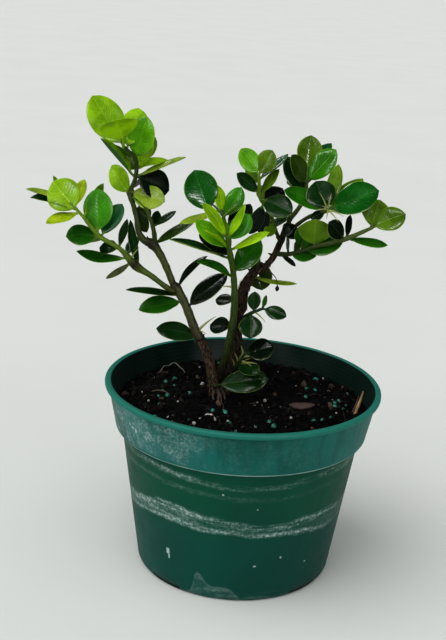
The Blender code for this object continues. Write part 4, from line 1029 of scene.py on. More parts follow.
def leaf_finish(name, glow, shine):
    """Leaf skin: midrib, side veins and pale edge by place on the blade, mottling by place in space.

    The side veins are the level lines of along * pairs - off * slant, made to wobble.
    """
    made = Finish(name, Specular_IOR_Level=0.13, Subsurface_Weight=glow, Subsurface_Radius=(1.0, 1.0, 0.25),
                  Subsurface_Scale=0.0012)
    product, total, less, span = made.product, made.total, made.less, made.span
    across, along, layer = made.parts(made.skin)
    off = made.calc("ABSOLUTE", across)
    rib = span(off, 0.09, 0.02)
    wobble = made.noise(420.0, detail=2.0)
    slant = total(less(product(along, VEIN_PAIRS), product(off, VEIN_SLANT)), product(wobble, 0.5))
    veins = product(span(made.away_from(0.5, made.calc("FRACT", slant)), 0.12, 0.02), span(off, 0.95, 0.5))
    net = span(made.cells(900.0), 0.10, 0.0)
    mottle = made.noise(95.0, detail=4.0)
    fine = made.noise(700.0, detail=2.0)
    body = made.shaded(span(mottle, 0.30, 0.72), (0.62, 0.66, 0.62), (1.30, 1.22, 1.25))
    lit = made.blend(1.0, made.times(body, (1.5, 1.35, 1.5)), VEIN_LIGHT, "ADD")
    lines = made.strongest(product(veins, 0.16), product(rib, 0.34), product(net, 0.07))
    rim = product(span(off, 0.93, 0.995), span(along, 0.02, 0.15), 0.55)
    made.colour(made.blend(rim, made.blend(lines, body, lit), LEAF_RIM_TONE))
    gloss = span(mottle, 0.2, 0.8, shine, shine + 0.12)
    dull_under = product(span(layer, 0.15, -0.15), 0.22)
    made.roughness(total(gloss, dull_under))
    relief = total(less(product(fine, 0.25), product(veins, 0.5)), product(mottle, 1.3))
    made.bump(relief, distance=0.00034, strength=0.8)
    return made.material


def stem_finish():
    """Green shoot skin: streaks and pale flecks drawn out along the stem, on each point's own tone."""
    made = Finish("green_stem", Specular_IOR_Level=0.13, Subsurface_Weight=0.10,
                  Subsurface_Radius=(1.0, 1.0, 0.3), Subsurface_Scale=0.001)
    streaks = made.noise(3.0, made.stretch(made.skin, (1.4, 1.4, 0.10)), detail=4.0)
    flecks = made.span(made.noise(5.0, made.stretch(made.skin, (1.6, 1.6, 0.35)), detail=2.0), 0.62, 0.74)
    body = made.shaded(made.span(streaks, 0.3, 0.7), (0.55, 0.55, 0.55), (1.35, 1.30, 1.25))
    made.colour(made.blend(made.product(flecks, 0.35), body, FLECK_TONE))
    made.roughness(made.span(streaks, 0.2, 0.8, 0.38, 0.62))
    made.bump(streaks, distance=0.0004, strength=0.6)
    return made.material


def bark_finish():
    """Rough bark: grey-tan ridges in each point's own tone, and long cracks along the wood, painted dark as
    shade.
    """
    made = Finish("bark", Specular_IOR_Level=0.08)
    long_skin = made.stretch(made.skin, (2.2, 2.2, 0.16))
    cracks = made.noise(2.4, long_skin, detail=6.0, roughness=0.68, distortion=0.6)
    grain = made.noise(1500.0, detail=4.0)
    # Painted shade: the cracks fall to a tenth of the tone, and the ridges rise to 1.7 times it.
    body = made.shaded(made.span(cracks, 0.40, 0.62), (0.10, 0.09, 0.09), (1.7, 1.6, 1.5))
    made.colour(made.blend(made.product(made.span(grain, 0.58, 0.75), 0.45), body, BARK_GRAIN_TONE))
    made.roughness(made.span(grain, 0.2, 0.8, 0.72, 0.95))
    relief = made.total(made.product(cracks, 1.6), made.product(grain, 0.5))
    made.bump(relief, distance=0.0011, strength=0.9)
    return made.material


def mix_finish():
    """Potting mix: nearly black crumbs, each in its own tone, damp and a little glossy in spots."""
    made = Finish("potting_mix", Specular_IOR_Level=0.08)
    grain = made.noise(1300.0, detail=5.0, roughness=0.7)
    made.colour(made.shaded(made.span(grain, 0.35, 0.70), (0.35, 0.35, 0.36), (1.8, 1.6, 1.5)))
    made.roughness(made.span(grain, 0.3, 0.7, 0.50, 0.95))
    made.bump(grain, distance=0.0012, strength=1.0)
    return made.material


def granule_finish():
    """Resin-coated granule: teal skin, worn paler in patches."""
    made = Finish("release_granule", Specular_IOR_Level=0.3, Coat_Weight=0.2, Coat_Roughness=0.2)
    worn = made.noise(600.0, detail=3.0)
    made.colour(made.blend(made.span(worn, 0.52, 0.72, 0.0, 0.5), made.tone, WORN_GRANULE_TONE))
    made.roughness(made.span(worn, 0.3, 0.7, 0.28, 0.50))
    made.bump(worn, distance=0.0003, strength=0.5)
    return made.material


def perlite_finish():
    """Perlite: white popped grains, grey in their pits as painted shade."""
    made = Finish("perlite", Specular_IOR_Level=0.2)
    pits = made.cells(1700.0, feature="F1")
    # Painted shade: grey where the pits sink in.
    made.colour(made.blend(made.span(pits, 0.15, 0.55), *PERLITE_TONES))
    made.roughness(made.span(pits, 0.1, 0.6, 0.80, 0.95))
    made.bump(pits, distance=-0.0005, strength=0.8)
    return made.material


def fibre_finish(name, length_scale):
    """Dry plant fibre: streaks along it, the longer the smaller the scale, in its own tone."""
    made = Finish(name, Specular_IOR_Level=0.3)
    streaks = made.noise(2.6, made.stretch(made.skin, (1.8, 1.8, length_scale)), detail=5.0)
    made.colour(made.shaded(made.span(streaks, 0.35, 0.65), (0.30, 0.27, 0.25), (1.35, 1.30, 1.25)))
    made.roughness(made.span(streaks, 0.3, 0.7, 0.70, 0.92))
    made.bump(streaks, distance=0.0006, strength=0.8)
    return made.material


def pot_finish():
    """Moulded green plastic with chalky water marks.

    Each chalk line is a band of height round a smooth line of the turn round the pot. Its edge wavers with
    noise, and level streaks and grit break it up. The collar has dust and drips, and the base a smear.
    """
    made = Finish("pot_plastic", Specular_IOR_Level=0.10, Sheen_Weight=0.03, Sheen_Roughness=0.6)
    product, strongest, span, calc = made.product, made.strongest, made.span, made.calc
    total, less, blend = made.total, made.less, made.blend
    x, y, z = made.parts(made.place)
    turn = calc("ARCTAN2", x, product(y, -1.0))
    turn_share = total(product(turn, 0.5 / math.pi), 0.5)
    left = span(calc("SINE", turn), -0.10, -0.68)
    height = product(z, 1.0 / MM)
    ragged = less(made.noise(70.0, detail=5.0, roughness=0.65), 0.5)
    level = total(height, product(ragged, CHALK_RAGGEDNESS))
    foot, lip = COLLAR_FOOT_Z, LIP_FOOT_Z
    on_collar = product(span(height, foot + 1.0, foot + 4.0), span(height, lip + 0.4, lip - 2.0))
    # The tone's value is 1 on the inside of the wall and in the notch recesses, where shade is painted.
    painted_shade_flag = made.attribute("tone", "Fac")

    cloud = made.noise(14.0, detail=2.0)
    streaks = made.noise(45.0, made.stretch(made.place, (1.0, 1.0, 7.0)), detail=7.0, roughness=0.74)
    scratches = made.noise(150.0, made.stretch(made.place, (0.5, 0.5, 3.5)), detail=6.0, roughness=0.75)
    drips = made.noise(170.0, made.stretch(made.place, (1.0, 1.0, 0.06)), detail=3.0)
    dust = made.noise(75.0, detail=8.0, roughness=0.74)
    speckle = made.noise(600.0, detail=4.0, roughness=0.7)
    grit = span(speckle, 0.42, 0.62, 0.25, 1.0)
    rubbed = strongest(span(streaks, 0.42, 0.62), product(span(scratches, 0.46, 0.62), 0.8))

    def chalk_height(name):
        return made.line(turn_share, CHALK_LINES[name][0], POT_HEIGHT)

    def chalk_line(name):
        strengths, half_width, soft = CHALK_LINES[name][1:]
        away = made.away_from(chalk_height(name), level)
        return product(span(away, half_width + soft, half_width * 0.3), made.line(turn_share, strengths))

    def nick(degrees, middle, half_turn, half_height):
        half_turn = math.radians(half_turn)
        aside = made.away_from(math.radians(degrees), turn)
        above = made.away_from(middle, level)
        return product(span(aside, half_turn, half_turn * 0.5), span(above, half_height, half_height * 0.5))

    low_edge, high_edge = chalk_height("lower_strand"), chalk_height("upper_strand")
    between = product(span(level, less(low_edge, 1.0), total(low_edge, 1.0)),
                      span(level, total(high_edge, 1.5), less(high_edge, 1.5)))
    below_smear = less(made.line(turn_share, BASE_SMEAR, POT_HEIGHT), level)
    patchy = strongest(span(below_smear, 4.0, 0.0, 0.0, 0.8), span(dust, 0.42, 0.62, 0.1, 0.8))
    smear = product(span(below_smear, -1.2, 0.8), patchy)
    collar_foot = span(made.away_from(foot + 0.7, height), 0.8, 0.2)
    chalk = strongest(
        product(chalk_line("under_collar"), rubbed, grit, 0.95),
        product(chalk_line("second_line"), rubbed, grit, 0.8),
        product(chalk_line("upper_strand"), span(rubbed, 0.0, 0.7, 0.15, 1.0), grit),
        product(chalk_line("lower_strand"), span(rubbed, 0.0, 0.6, 0.35, 1.0), grit),
        product(between, span(streaks, 0.36, 0.62, 0.15, 0.9), grit, total(product(left, 0.45), 0.16)),
        product(on_collar, span(dust, 0.40, 0.66), grit, total(product(left, 0.55), 0.06)),
        product(on_collar, span(speckle, 0.64, 0.72), span(dust, 0.50, 0.62), left, 0.7),
        product(collar_foot, span(dust, 0.3, 0.6, 0.25, 0.6)),
        product(smear, span(scratches, 0.38, 0.6, 0.3, 1.0), 0.34),
        product(span(height, 8.0, 0.5), span(streaks, 0.5, 0.7), 0.22),
        product(strongest(*(nick(*row) for row in NICKS)), 0.85),
        product(span(speckle, 0.735, 0.76), 0.30),
    )
    # No chalk where the shade is painted.
    chalk = product(chalk, span(painted_shade_flag, 0.6, 0.4))

    tones = POT_TONES
    body = blend(span(level, *BODY_FADE_Z), tones["low_body"], tones["high_body"])
    body = blend(span(height, foot - 0.4, foot + 0.6), body, tones["collar"])
    dripped = product(span(height, foot + 1.0, foot + 5.0), span(drips, 0.45, 0.62), 0.5)
    body = blend(dripped, body, tones["drip"])
    body = blend(product(span(cloud, 0.35, 0.65), 0.5), body, tones["cloud"])
    body = blend(product(on_collar, span(cloud, 0.62, 0.40), left, 0.7), body, tones["dusty_collar"])
    body = blend(span(height, lip - 0.4, lip + 0.3), body, tones["lip"])
    # Painted shade: nearly black inside the wall and in the notch recesses, in rings of height.
    ring = span(calc("SINE", product(height, 2.6)), -0.2, 0.9)
    inside = blend(ring, tones["inside"], tones["inside_ring"])
    body = blend(span(painted_shade_flag, 0.4, 0.6), body, inside)
    made.colour(blend(chalk, body, tones["chalk"]))
    made.roughness(total(span(dust, 0.3, 0.7, 0.42, 0.58), product(chalk, 0.35)))
    made.bump(total(product(dust, 0.4), product(chalk, 0.6)), distance=0.00022, strength=0.6)
    return made.material


def floor_finish():
    """Matt white table top with slow clouds."""
    made = Finish("white_table", Roughness=0.75, Specular_IOR_Level=0.0)
    made.colour(made.blend(made.span(made.noise(6.0, detail=2.0), 0.3, 0.7), *FLOOR_TONES))
    return made.material


def rounded(profile, cut, steps=4):
    """The profile with each inner corner replaced by a parabola that touches both sides near it."""
    p = np.array(profile, float)
    before, corner, after = p[:-2], p[1:-1], p[2:]

    def towards(end):
        way = end - corner
        length = np.linalg.norm(way, axis=1, keepdims=True)
        return corner + way / length * np.minimum(cut, length * 0.45)

    t = np.linspace(0.0, 1.0, steps + 1)[None, :, None]
    start, end = towards(before)[:, None], towards(after)[:, None]
    arcs = (1 - t) ** 2 * start + 2 * t * (1 - t) * corner[:, None] + t**2 * end
    return np.vstack([p[:1], arcs.reshape(-1, 2), p[-1:]])


def turned_rings(profile, sides):
    """Level circles of the profile's radii and heights."""
    angle = spoke_angles(sides)
    r, z = profile[:, :1], profile[:, 1:]
    flat = np.broadcast_to(z, (len(profile), sides))
    return np.stack([r * np.cos(angle), r * np.sin(angle), flat], -1)


def make_pot():
    """The pot's profile, turned. In the notches the base edge rises by a smooth step in angle and radius."""
    outer = rounded([
        # Flat base and its edge
        (POLE_RADIUS, 0.0),
        (BASE_RADIUS - 9.0, 0.0),
        (BASE_RADIUS - 1.2, 0.0),
        (BASE_RADIUS - 0.6, 0.55),
        (BASE_RADIUS + 0.6, 2.2),
        # Body and ledge
        (BASE_RADIUS + 1.4, 7.4),
        (BODY_TOP_RADIUS - 1.0, COLLAR_FOOT_Z - 7.0),
        (BODY_TOP_RADIUS, COLLAR_FOOT_Z - 0.4),
        (COLLAR_FOOT_RADIUS - 0.8, COLLAR_FOOT_Z),
        # Collar and lip
        (COLLAR_FOOT_RADIUS + 0.2, COLLAR_FOOT_Z + 1.0),
        (COLLAR_TOP_RADIUS, LIP_FOOT_Z - 0.2),
        (RIM_RADIUS - 0.6, LIP_FOOT_Z),
        (RIM_RADIUS, LIP_FOOT_Z + 0.6),
        (RIM_RADIUS, POT_HEIGHT - 0.8),
        (RIM_RADIUS - 0.8, POT_HEIGHT),
        (COLLAR_TOP_RADIUS - WALL + 0.6, POT_HEIGHT),
    ], 0.5)
    inner = rounded([
        (COLLAR_TOP_RADIUS - WALL, POT_HEIGHT - 0.6),
        (COLLAR_FOOT_RADIUS - WALL, LEDGE_INSIDE_Z + 0.4),
        (BODY_TOP_RADIUS - WALL, LEDGE_INSIDE_Z),
        (BASE_RADIUS - WALL, FLOOR_THICKNESS + 2.0),
        (BASE_RADIUS - WALL - 2.0, FLOOR_THICKNESS),
        (POLE_RADIUS, FLOOR_THICKNESS),
    ], 0.4)
    rings = turned_rings(np.vstack([outer, inner]), POT_SIDES)
    x, y, z = rings[..., 0], rings[..., 1], rings[..., 2]
    radius = np.hypot(x, y)
    angle = np.degrees(np.arctan2(y, x))
    pitch = 360.0 / NOTCH_COUNT
    away = np.abs((angle - FIRST_NOTCH_DEG + pitch / 2) % pitch - pitch / 2)
    notch_side = math.degrees(NOTCH_WIDTH / 2 / BASE_RADIUS)
    recess = BASE_RADIUS - NOTCH_RECESS
    share = smooth_step(notch_side + 0.5, notch_side - 0.5, away) * smooth_step(recess, recess + 0.1, radius)
    is_outer = np.arange(len(rings))[:, None] < len(outer)
    low_edge = is_outer & (z < NOTCH_HEIGHT)
    raised = np.maximum(z, NOTCH_HEIGHT * 0.999 + 0.05 * z)
    rings[..., 2] = np.where(low_edge, z + (raised - z) * share, z)
    # Painted shade: the inside of the wall and the notch recesses get tone 1, which the finish paints nearly
    # black.
    in_notch = low_edge & (away < notch_side + 0.5) & (radius < BASE_RADIUS - 0.3)
    dark = np.where(~is_outer | in_notch, 1.0, 0.0)
    pot = Shells()
    pot.stack(rings, np.repeat(dark[..., None], 3, axis=-1))
    pot.make("pot_shell", pot_finish(), "pot", "pot")


def pot_inner_radius(z):
    """The inside of the collar's wall at a height, straight from its foot to its top."""
    share = (z - LEDGE_INSIDE_Z) / (POT_HEIGHT - LEDGE_INSIDE_Z)
    return COLLAR_FOOT_RADIUS + (COLLAR_TOP_RADIUS - COLLAR_FOOT_RADIUS) * share - WALL


def from_chip(x, y):
    """The distance from the middle of the bark chip."""
    return np.hypot(x - CHIP_CENTRE[0], y - CHIP_CENTRE[1])


def soil_height(x, y):
    """A mound that rises inwards by the power 0.8, sine waves for clods, and a flat bed for the chip."""
    share = np.clip(1.0 - np.hypot(x, y) / pot_inner_radius(SOIL_EDGE_Z), 0.0, 1.0)
    mound = SOIL_RISE * np.clip(share * 2.2, 0.0, 1.0) ** 0.8
    clods = np.sin(0.31 * x + 1.3) * np.sin(0.27 * y - 0.6) + 0.7 * np.sin(0.52 * y + 0.21 * x)
    open_share = np.clip((from_chip(x, y) - CHIP_BED_RADIUS) / CHIP_BED_EDGE, 0.0, 1.0)
    edge_calm = np.clip(share * 12.0, 0.0, 1.0)
    open_soil = SOIL_EDGE_Z + mound + CLOD_HEIGHT * clods * edge_calm
    return open_share * open_soil + (1 - open_share) * CHIP_BED_Z


def crumbly_height(x, y):
    """The soil's height with crumbs: three sizes of lumps, fading out at the chip's bed and the wall."""
    calm = smooth_step(*CHIP_CALM, from_chip(x, y)) * smooth_step(*WALL_CALM, np.hypot(x, y))
    crumbs = sum(height * lumps(x, y, cell, seed) for height, cell, seed in CRUMB_LAYERS)
    return soil_height(x, y) + calm * crumbs


def make_soil():
    """A disc of crumbs on a plug that fills the pot."""
    top = pot_inner_radius(SOIL_EDGE_Z) - GAP
    floor_z = FLOOR_THICKNESS + GAP
    ledge = LEDGE_INSIDE_Z + 0.4 + GAP
    plug = np.array([
        (POLE_RADIUS, floor_z),
        (BASE_RADIUS - WALL - 2.3, floor_z),
        (BASE_RADIUS - WALL - GAP - 0.1, FLOOR_THICKNESS + 2.3),
        (BODY_TOP_RADIUS - WALL - GAP - 0.3, ledge),
        (COLLAR_FOOT_RADIUS - WALL - GAP, ledge + 0.5),
    ])
    radii = np.linspace(top, 0.3, SOIL_RINGS)
    disc = np.column_stack([radii, np.full(SOIL_RINGS, SOIL_EDGE_Z)])
    rings = turned_rings(np.vstack([plug, disc]), SOIL_SIDES)
    upper = rings[len(plug):]
    upper[..., 2] = crumbly_height(upper[..., 0], upper[..., 1])
    patches = lumps(rings[..., 0], rings[..., 1], 4.0, 31)[..., None]
    soil = Shells()
    soil.stack(rings, np.array(SOIL_TONE) * (1.0 + 0.6 * patches))
    soil.make("potting_mix", mix_finish(), "soil", "soil")


def ball(detail):
    """Points and triangles of a unit ball."""
    mesh = bpy.data.meshes.new("ball")
    shape = bmesh.new()
    bmesh.ops.create_icosphere(shape, subdivisions=detail, radius=1.0)
    shape.to_mesh(mesh)
    shape.free()
    points = np.empty(3 * len(mesh.vertices), np.float32)
    mesh.vertices.foreach_get("co", points)
    corners = np.empty(len(mesh.loops), np.int32)
    mesh.loops.foreach_get("vertex_index", corners)
    bpy.data.meshes.remove(mesh)
    return points.reshape(-1, 3).astype(float), corners.reshape(-1, 3).astype(int)


def random_turns(count, rng):
    """Rotation matrices from evenly spread unit quaternions."""
    q = rng.normal(size=(count, 4))
    w, x, y, z = (q / np.linalg.norm(q, axis=1, keepdims=True)).T
    return np.stack([
        1 - 2 * (y * y + z * z), 2 * (x * y - w * z), 2 * (x * z + w * y),
        2 * (x * y + w * z), 1 - 2 * (x * x + z * z), 2 * (y * z - w * x),
        2 * (x * z - w * y), 2 * (y * z + w * x), 1 - 2 * (x * x + y * y),
    ], -1).reshape(-1, 3, 3)


def scattered(count, rng, nearest=0.0):
    """Places spread evenly over a ring of the soil, off the stems, the chip and the stick.

    The distance from the middle is the reach times the square root of an even chance.
    """
    angle = rng.uniform(0, 2 * math.pi, count * 2)
    spread = np.sqrt(rng.uniform((nearest / SCATTER_REACH) ** 2, 1.0, count * 2)) * SCATTER_REACH
    x, y = spread * np.cos(angle), spread * np.sin(angle)
    clear = np.all([np.hypot(x - cx, y - cy) > away for cx, cy, away in KEPT_CLEAR], axis=0)
    return x[clear][:count], y[clear][:count]


def strew(name, finish, x, y, sizes, tones, rng, detail, rough, sink):
    """Copies of a ball as one piece: each point pushed out or in by up to the share rough, each copy
    stretched to its three sizes, turned at random, and raised over the soil by sink times its least size.
    """
    points, faces = ball(detail)
    count = len(x)
    turns = random_turns(count, rng)
    pushed = points[None] * (1 + rough * rng.uniform(-1, 1, (count, len(points), 1)))
    placed = np.einsum("nij,nvj->nvi", turns, pushed * sizes[:, None])
    centres = np.column_stack([x, y, crumbly_height(x, y) + sizes.min(axis=1) * sink])
    placed += centres[:, None]
    first_points = (np.arange(count) * len(points))[:, None, None]
    strewn = Shells()
    strewn.put(placed.reshape(-1, 3), [(faces[None] + first_points).reshape(-1, 3)],
               np.repeat(tones, len(points), axis=0), NO_SKIN)
    strewn.make(name, finish, "soil", "soil")


def make_crumbs():
    """Loose crumbs of peat and bark, from dust to 4 mm. A high power of chance keeps most of them small."""
    rng = np.random.default_rng(SEED + 1)
    x, y = scattered(CRUMB_COUNT, rng)
    count = len(x)
    least, most = CRUMB_RADII
    size = least + (most - least) * rng.uniform(0, 1, (count, 1)) ** CRUMB_SMALLNESS
    sizes = size * rng.uniform(*CRUMB_FORMS, (count, 3))
    kind = rng.uniform(0, 1, (count, 1))
    tones = np.array(CRUMB_TONE)
    for from_share, tone in RARER_CRUMBS:
        tones = np.where(kind > from_share, tone, tones)
    tones = tones * rng.uniform(*CRUMB_SHADES, (count, 1))
    strew("mix_crumbs", mix_finish(), x, y, sizes, tones, rng, detail=1, rough=0.30, sink=0.35)


def make_granules():
    """Round release granules and white perlite, the ones that the photo shows and others by chance."""
    rng = np.random.default_rng(SEED + 2)
    x, y = scattered(GRANULES_BY_CHANCE, rng, nearest=8.0)
    seen_x, seen_y = np.array(SEEN_GRANULES).T
    x, y = np.concatenate([seen_x, x]), np.concatenate([seen_y, y])
    count = len(x)
    size = GRANULE_RADIUS * rng.uniform(*GRANULE_SIZES, (count, 1))
    sizes = size * rng.uniform(*GRANULE_FORMS, (count, 3))
    tones = np.array(GRANULE_TONE) * rng.uniform(*GRANULE_SHADES, (count, 1))
    strew("release_granules", granule_finish(), x, y, sizes, tones, rng, detail=3, rough=0.02, sink=0.25)

    x, y = scattered(PERLITE_BY_CHANCE, rng)
    seen_x, seen_y, seen_size = np.array(SEEN_PERLITE).T
    least, most = PERLITE_RADII
    size = np.concatenate([seen_size, least + (most - least) * rng.uniform(0, 1, len(x)) ** 2])[:, None]
    x, y = np.concatenate([seen_x, x]), np.concatenate([seen_y, y])
    sizes = size * rng.uniform(*PERLITE_FORMS, (len(x), 3))
    tones = np.full((len(x), 3), 0.7)
    strew("perlite", perlite_finish(), x, y, sizes, tones, rng, detail=2, rough=0.22, sink=0.45)


def put_shreds(litter, rng):
    """Flat splinters that lie on the soil, each a tube pressed down to SHRED_FLATNESS of its height."""
    x, y = scattered(SHRED_COUNT, rng)
    t = np.linspace(-0.5, 0.5, 6)
    for place_x, place_y in zip(x, y):
        heading = rng.uniform(0, 2 * math.pi)
        length, width = rng.uniform(*SHRED_LENGTHS), rng.uniform(*SHRED_WIDTHS)
        line_x = place_x + length * t * math.cos(heading)
        line_y = place_y + length * t * math.sin(heading)
        slope = rng.uniform(*SHRED_SLOPES)
        line_z = crumbly_height(place_x, place_y) + 0.5 + length * t * slope + 0.4 * np.cos(5 * t)
        if np.hypot(line_x, line_y).max() >= SCATTER_REACH + 0.5:
            continue
        path = np.column_stack([line_x, line_y, line_z, width / 2 * (1.05 - np.abs(t) * 1.3)])
        rings = tube_rings(path, 6)
        rings[..., 2] = line_z[:, None] + SHRED_FLATNESS * (rings[..., 2] - line_z[:, None])
        litter.stack(rings, np.array(SHRED_TONE) * rng.uniform(*SHRED_SHADES), tube_skin(path, 6))


def put_fibres(litter, rng):
    """Thin tubes that wander over the soil and hop a little off it."""
    for _ in range(FIBRE_COUNT):
        angle, spread = rng.uniform(0, 2 * math.pi), math.sqrt(rng.uniform(0, 1)) * FIBRE_SPREAD
        start = np.array([spread * math.cos(angle), spread * math.sin(angle)])
        heading = rng.uniform(0, 2 * math.pi) + np.cumsum(rng.normal(0, FIBRE_WANDER, FIBRE_STEPS))
        steps = rng.uniform(*FIBRE_PACES) * np.column_stack([np.cos(heading), np.sin(heading)])
        line = start + np.cumsum(steps, axis=0)
        if np.hypot(*line.T).max() > SCATTER_REACH:
            continue
        hop = rng.uniform(*FIBRE_HOPS) * np.sin(np.linspace(0, math.pi, FIBRE_STEPS))
        height = soil_height(*line.T) + 0.7 + hop
        radius = np.full(FIBRE_STEPS, rng.uniform(*FIBRE_RADII))
        tone = np.array(FIBRE_TONE) * rng.uniform(*FIBRE_SHADES)
        litter.tube(np.column_stack([line, height, radius]), 5, tone)


def make_litter():
    """Bark shreds, fibres by chance, and the fibres and short roots that the photo shows."""
    rng = np.random.default_rng(SEED + 3)
    litter = Shells()
    put_shreds(litter, rng)
    put_fibres(litter, rng)
    for points, tone in SEEN_FIBRES:
        path = smooth_path(points)
        path[:, 2] += soil_height(path[:, 0], path[:, 1])
        litter.tube(path, 6, tone)
    litter.make("bark_shreds_and_fibres", fibre_finish("dry_shreds", 0.4), "soil", "soil")


def put_bark_strip(wood, path, low, high, rng):
    """A loose strip of bark that leans out from a stem, somewhere between two shares of its length."""
    share = rng.uniform(low, high)
    here = place_along(path, share)
    length = rng.uniform(*STRIP_LENGTHS)
    heading = rng.uniform(0, 2 * math.pi)
    out = np.array([math.cos(heading), math.sin(heading), 0.0])
    t = np.linspace(0, 1, 7)
    upward = rng.choice((-1.0, 1.0))
    line = here[:3] + out * (here[3] * (0.82 + 0.30 * t**2))[:, None]
    line = line + np.array([0, 0, 1.0]) * (upward * length * (t - 0.4))[:, None]
    drift = place_along(path, share + upward * 0.03)[:3] - here[:3]
    line = line + drift * t[:, None]
    radius = rng.uniform(*STRIP_RADII) * np.sin(math.pi * (0.1 + 0.85 * t))
    tone = np.array(WOOD_TONES["strip"]) * rng.uniform(*STRIP_SHADES)
    wood.tube(np.column_stack([line, radius]), 6, tone)


def make_wood():
    """Root collar, trunk and right limb, with spurs on the limb and loose strips of bark on both stems."""
    rng = np.random.default_rng(SEED + 4)
    wood = Shells()
    rings, skin = barky(smooth_path(ROOT_COLLAR), sides=26, rough=0.10, seed=41)
    wood.stack(rings, WOOD_TONES["collar"], skin)
    trunk = smooth_path(STEMS["trunk"], 12)
    trunk[:, 3] *= TRUNK_SLIMNESS
    rings, skin = barky(trunk, sides=24, rough=0.12, seed=43)
    wood.stack(rings, WOOD_TONES["trunk"], skin)
    limb = smooth_path(STEMS["right_wood"], 12)
    limb[:, 3] *= 1 - LIMB_TAPER * smooth_step(*LIMB_TAPER_Z, limb[:, 2])
    rings, skin = barky(limb, sides=24, rough=0.17, seed=45)
    fade = smooth_step(*LIMB_FADE_Z, limb[:, 2])[:, None, None]
    tones = np.array(WOOD_TONES["limb_foot"]) * (1 - fade) + np.array(WOOD_TONES["limb_tip"]) * fade
    wood.stack(rings, tones, skin)
    low, high = SPUR_SPAN
    for index in range(LIMB_SPURS):
        root = place_along(limb, low + (high - low) * index / LIMB_SPURS)[:3]
        heading = SPUR_TURN * index
        right = rng.uniform(*SPUR_REACHES) * math.cos(heading)
        up = rng.uniform(*SPUR_RISES)
        near = rng.uniform(*SPUR_REACHES) * math.sin(heading)
        spur = thorn_path(root, (right, up, near), rng.uniform(*SPUR_RADII))
        wood.tube(spur, THORN_SIDES, WOOD_TONES["spur"])
    paths = {"trunk": trunk, "limb": limb}
    for stem, count, low, high in BARK_STRIPS:
        for _ in range(count):
            put_bark_strip(wood, paths[stem], low, high, rng)
    wood.make("trunk_and_limb", bark_finish(), "bark", "woody_trunk")


def put_stem(green, stem, rng):
    """A green stem with a tone that fades from foot to tip. Its joints and knots swell it by bell curves.

    Each knot is brown and has a ring of broken stubs.
    """
    raw = np.array(STEMS[stem], float)
    path = smooth_path(raw)
    skin = tube_skin(path, STEM_SIDES)
    share = skin[..., 2:] / skin[-1, 0, 2]
    places = KNOTS.get(stem, ())
    knots = sum((np.exp(-((share - place) / KNOT_REACH) ** 2) for place in places), 0 * share)
    low_tone, high_tone = np.array(STEM_TONES[stem])
    tones = low_tone * (1 - share) + high_tone * share
    tones = tones * (1 - np.minimum(knots, 1)) + np.array(KNOT_TONE) * np.minimum(knots, 1)
    joints = JOINT_SWELL * np.exp(-((share[..., 0] * len(raw) % 1 - 0.5) / JOINT_REACH) ** 2)
    swell = STEM_SLIMNESS + joints + KNOT_SWELL * knots[..., 0]
    green.stack(tube_rings(path, STEM_SIDES, swell), tones, skin)
    for place in places:
        for heading in spoke_angles(KNOT_STUBS):
            root = place_along(raw, place + rng.uniform(*STUB_SHIFTS))
            out = np.array([math.cos(heading), math.sin(heading), 0.5])
            stub = thorn_path(root[:3], (root[3] + rng.uniform(*STUB_LENGTHS)) * out, root[3] * 0.42)
            green.tube(stub, THORN_SIDES, np.array(KNOT_TONE) * rng.uniform(*STUB_SHADES))


def put_leaves(leaves, stem, rng):
    """The stem's leaves, each in its upper and lower tone, and at its root in the stem's."""
    for (along, reach, width, face, bow, *fold), look in zip(LEAVES[stem], LEAF_LOOKS[stem].split()):
        root = place_along(STEMS[stem], along)[:3]
        rings, skin = blade_rings(root, reach, width, face, bow, fold[0] if fold else BLADE_FOLD, rng)
        upper, _, lower = look.partition("/")
        top, under = (np.array(LEAF_TONES[tone]) for tone in (upper, lower or UNDERSIDES[upper]))
        tones = np.where(skin[..., 2:] > 0, top, under) * rng.uniform(*BLADE_SHADES)
        stalk = smooth_step(0.12, 0.0, skin[..., 1:2]) * 0.6
        leaves.stack(rings, tones * (1 - stalk) + np.array(STEM_TONES[stem][1]) * stalk, skin)


def make_shoot(name, stems, finishes, rng):
    """A shoot's leaves as one piece, and its stems and thorns as another."""
    leaves, green = Shells(), Shells()
    for stem in stems:
        put_stem(green, stem, rng)
        put_leaves(leaves, stem, rng)
        for along, reach, radius in THORNS.get(stem, ()):
            thorn = thorn_path(place_along(STEMS[stem], along)[:3], reach, radius)
            green.tube(thorn, THORN_SIDES, THORN_TONE)
    if name == BUD_SHOOT:
        green.tube(smooth_path(BUD_PATH), 10, BUD_TONE)
    slot_name = "young_leaf" if name in YOUNG else "leaf"
    leaves.make(name + "_leaves", finishes[slot_name], slot_name, name)
    green.make(name + "_stems", finishes["stem"], slot_name, name)


def make_plant():
    """Every shoot, in the order of the nodes."""
    finishes = {
        "young_leaf": leaf_finish("young_leaf_skin", glow=0.22, shine=0.22),
        "leaf": leaf_finish("leaf_skin", glow=0.10, shine=0.15),
        "stem": stem_finish(),
    }
    rng = np.random.default_rng(SEED + 5)
    for name, stems in SHOOTS.items():
        make_shoot(name, stems, finishes, rng)


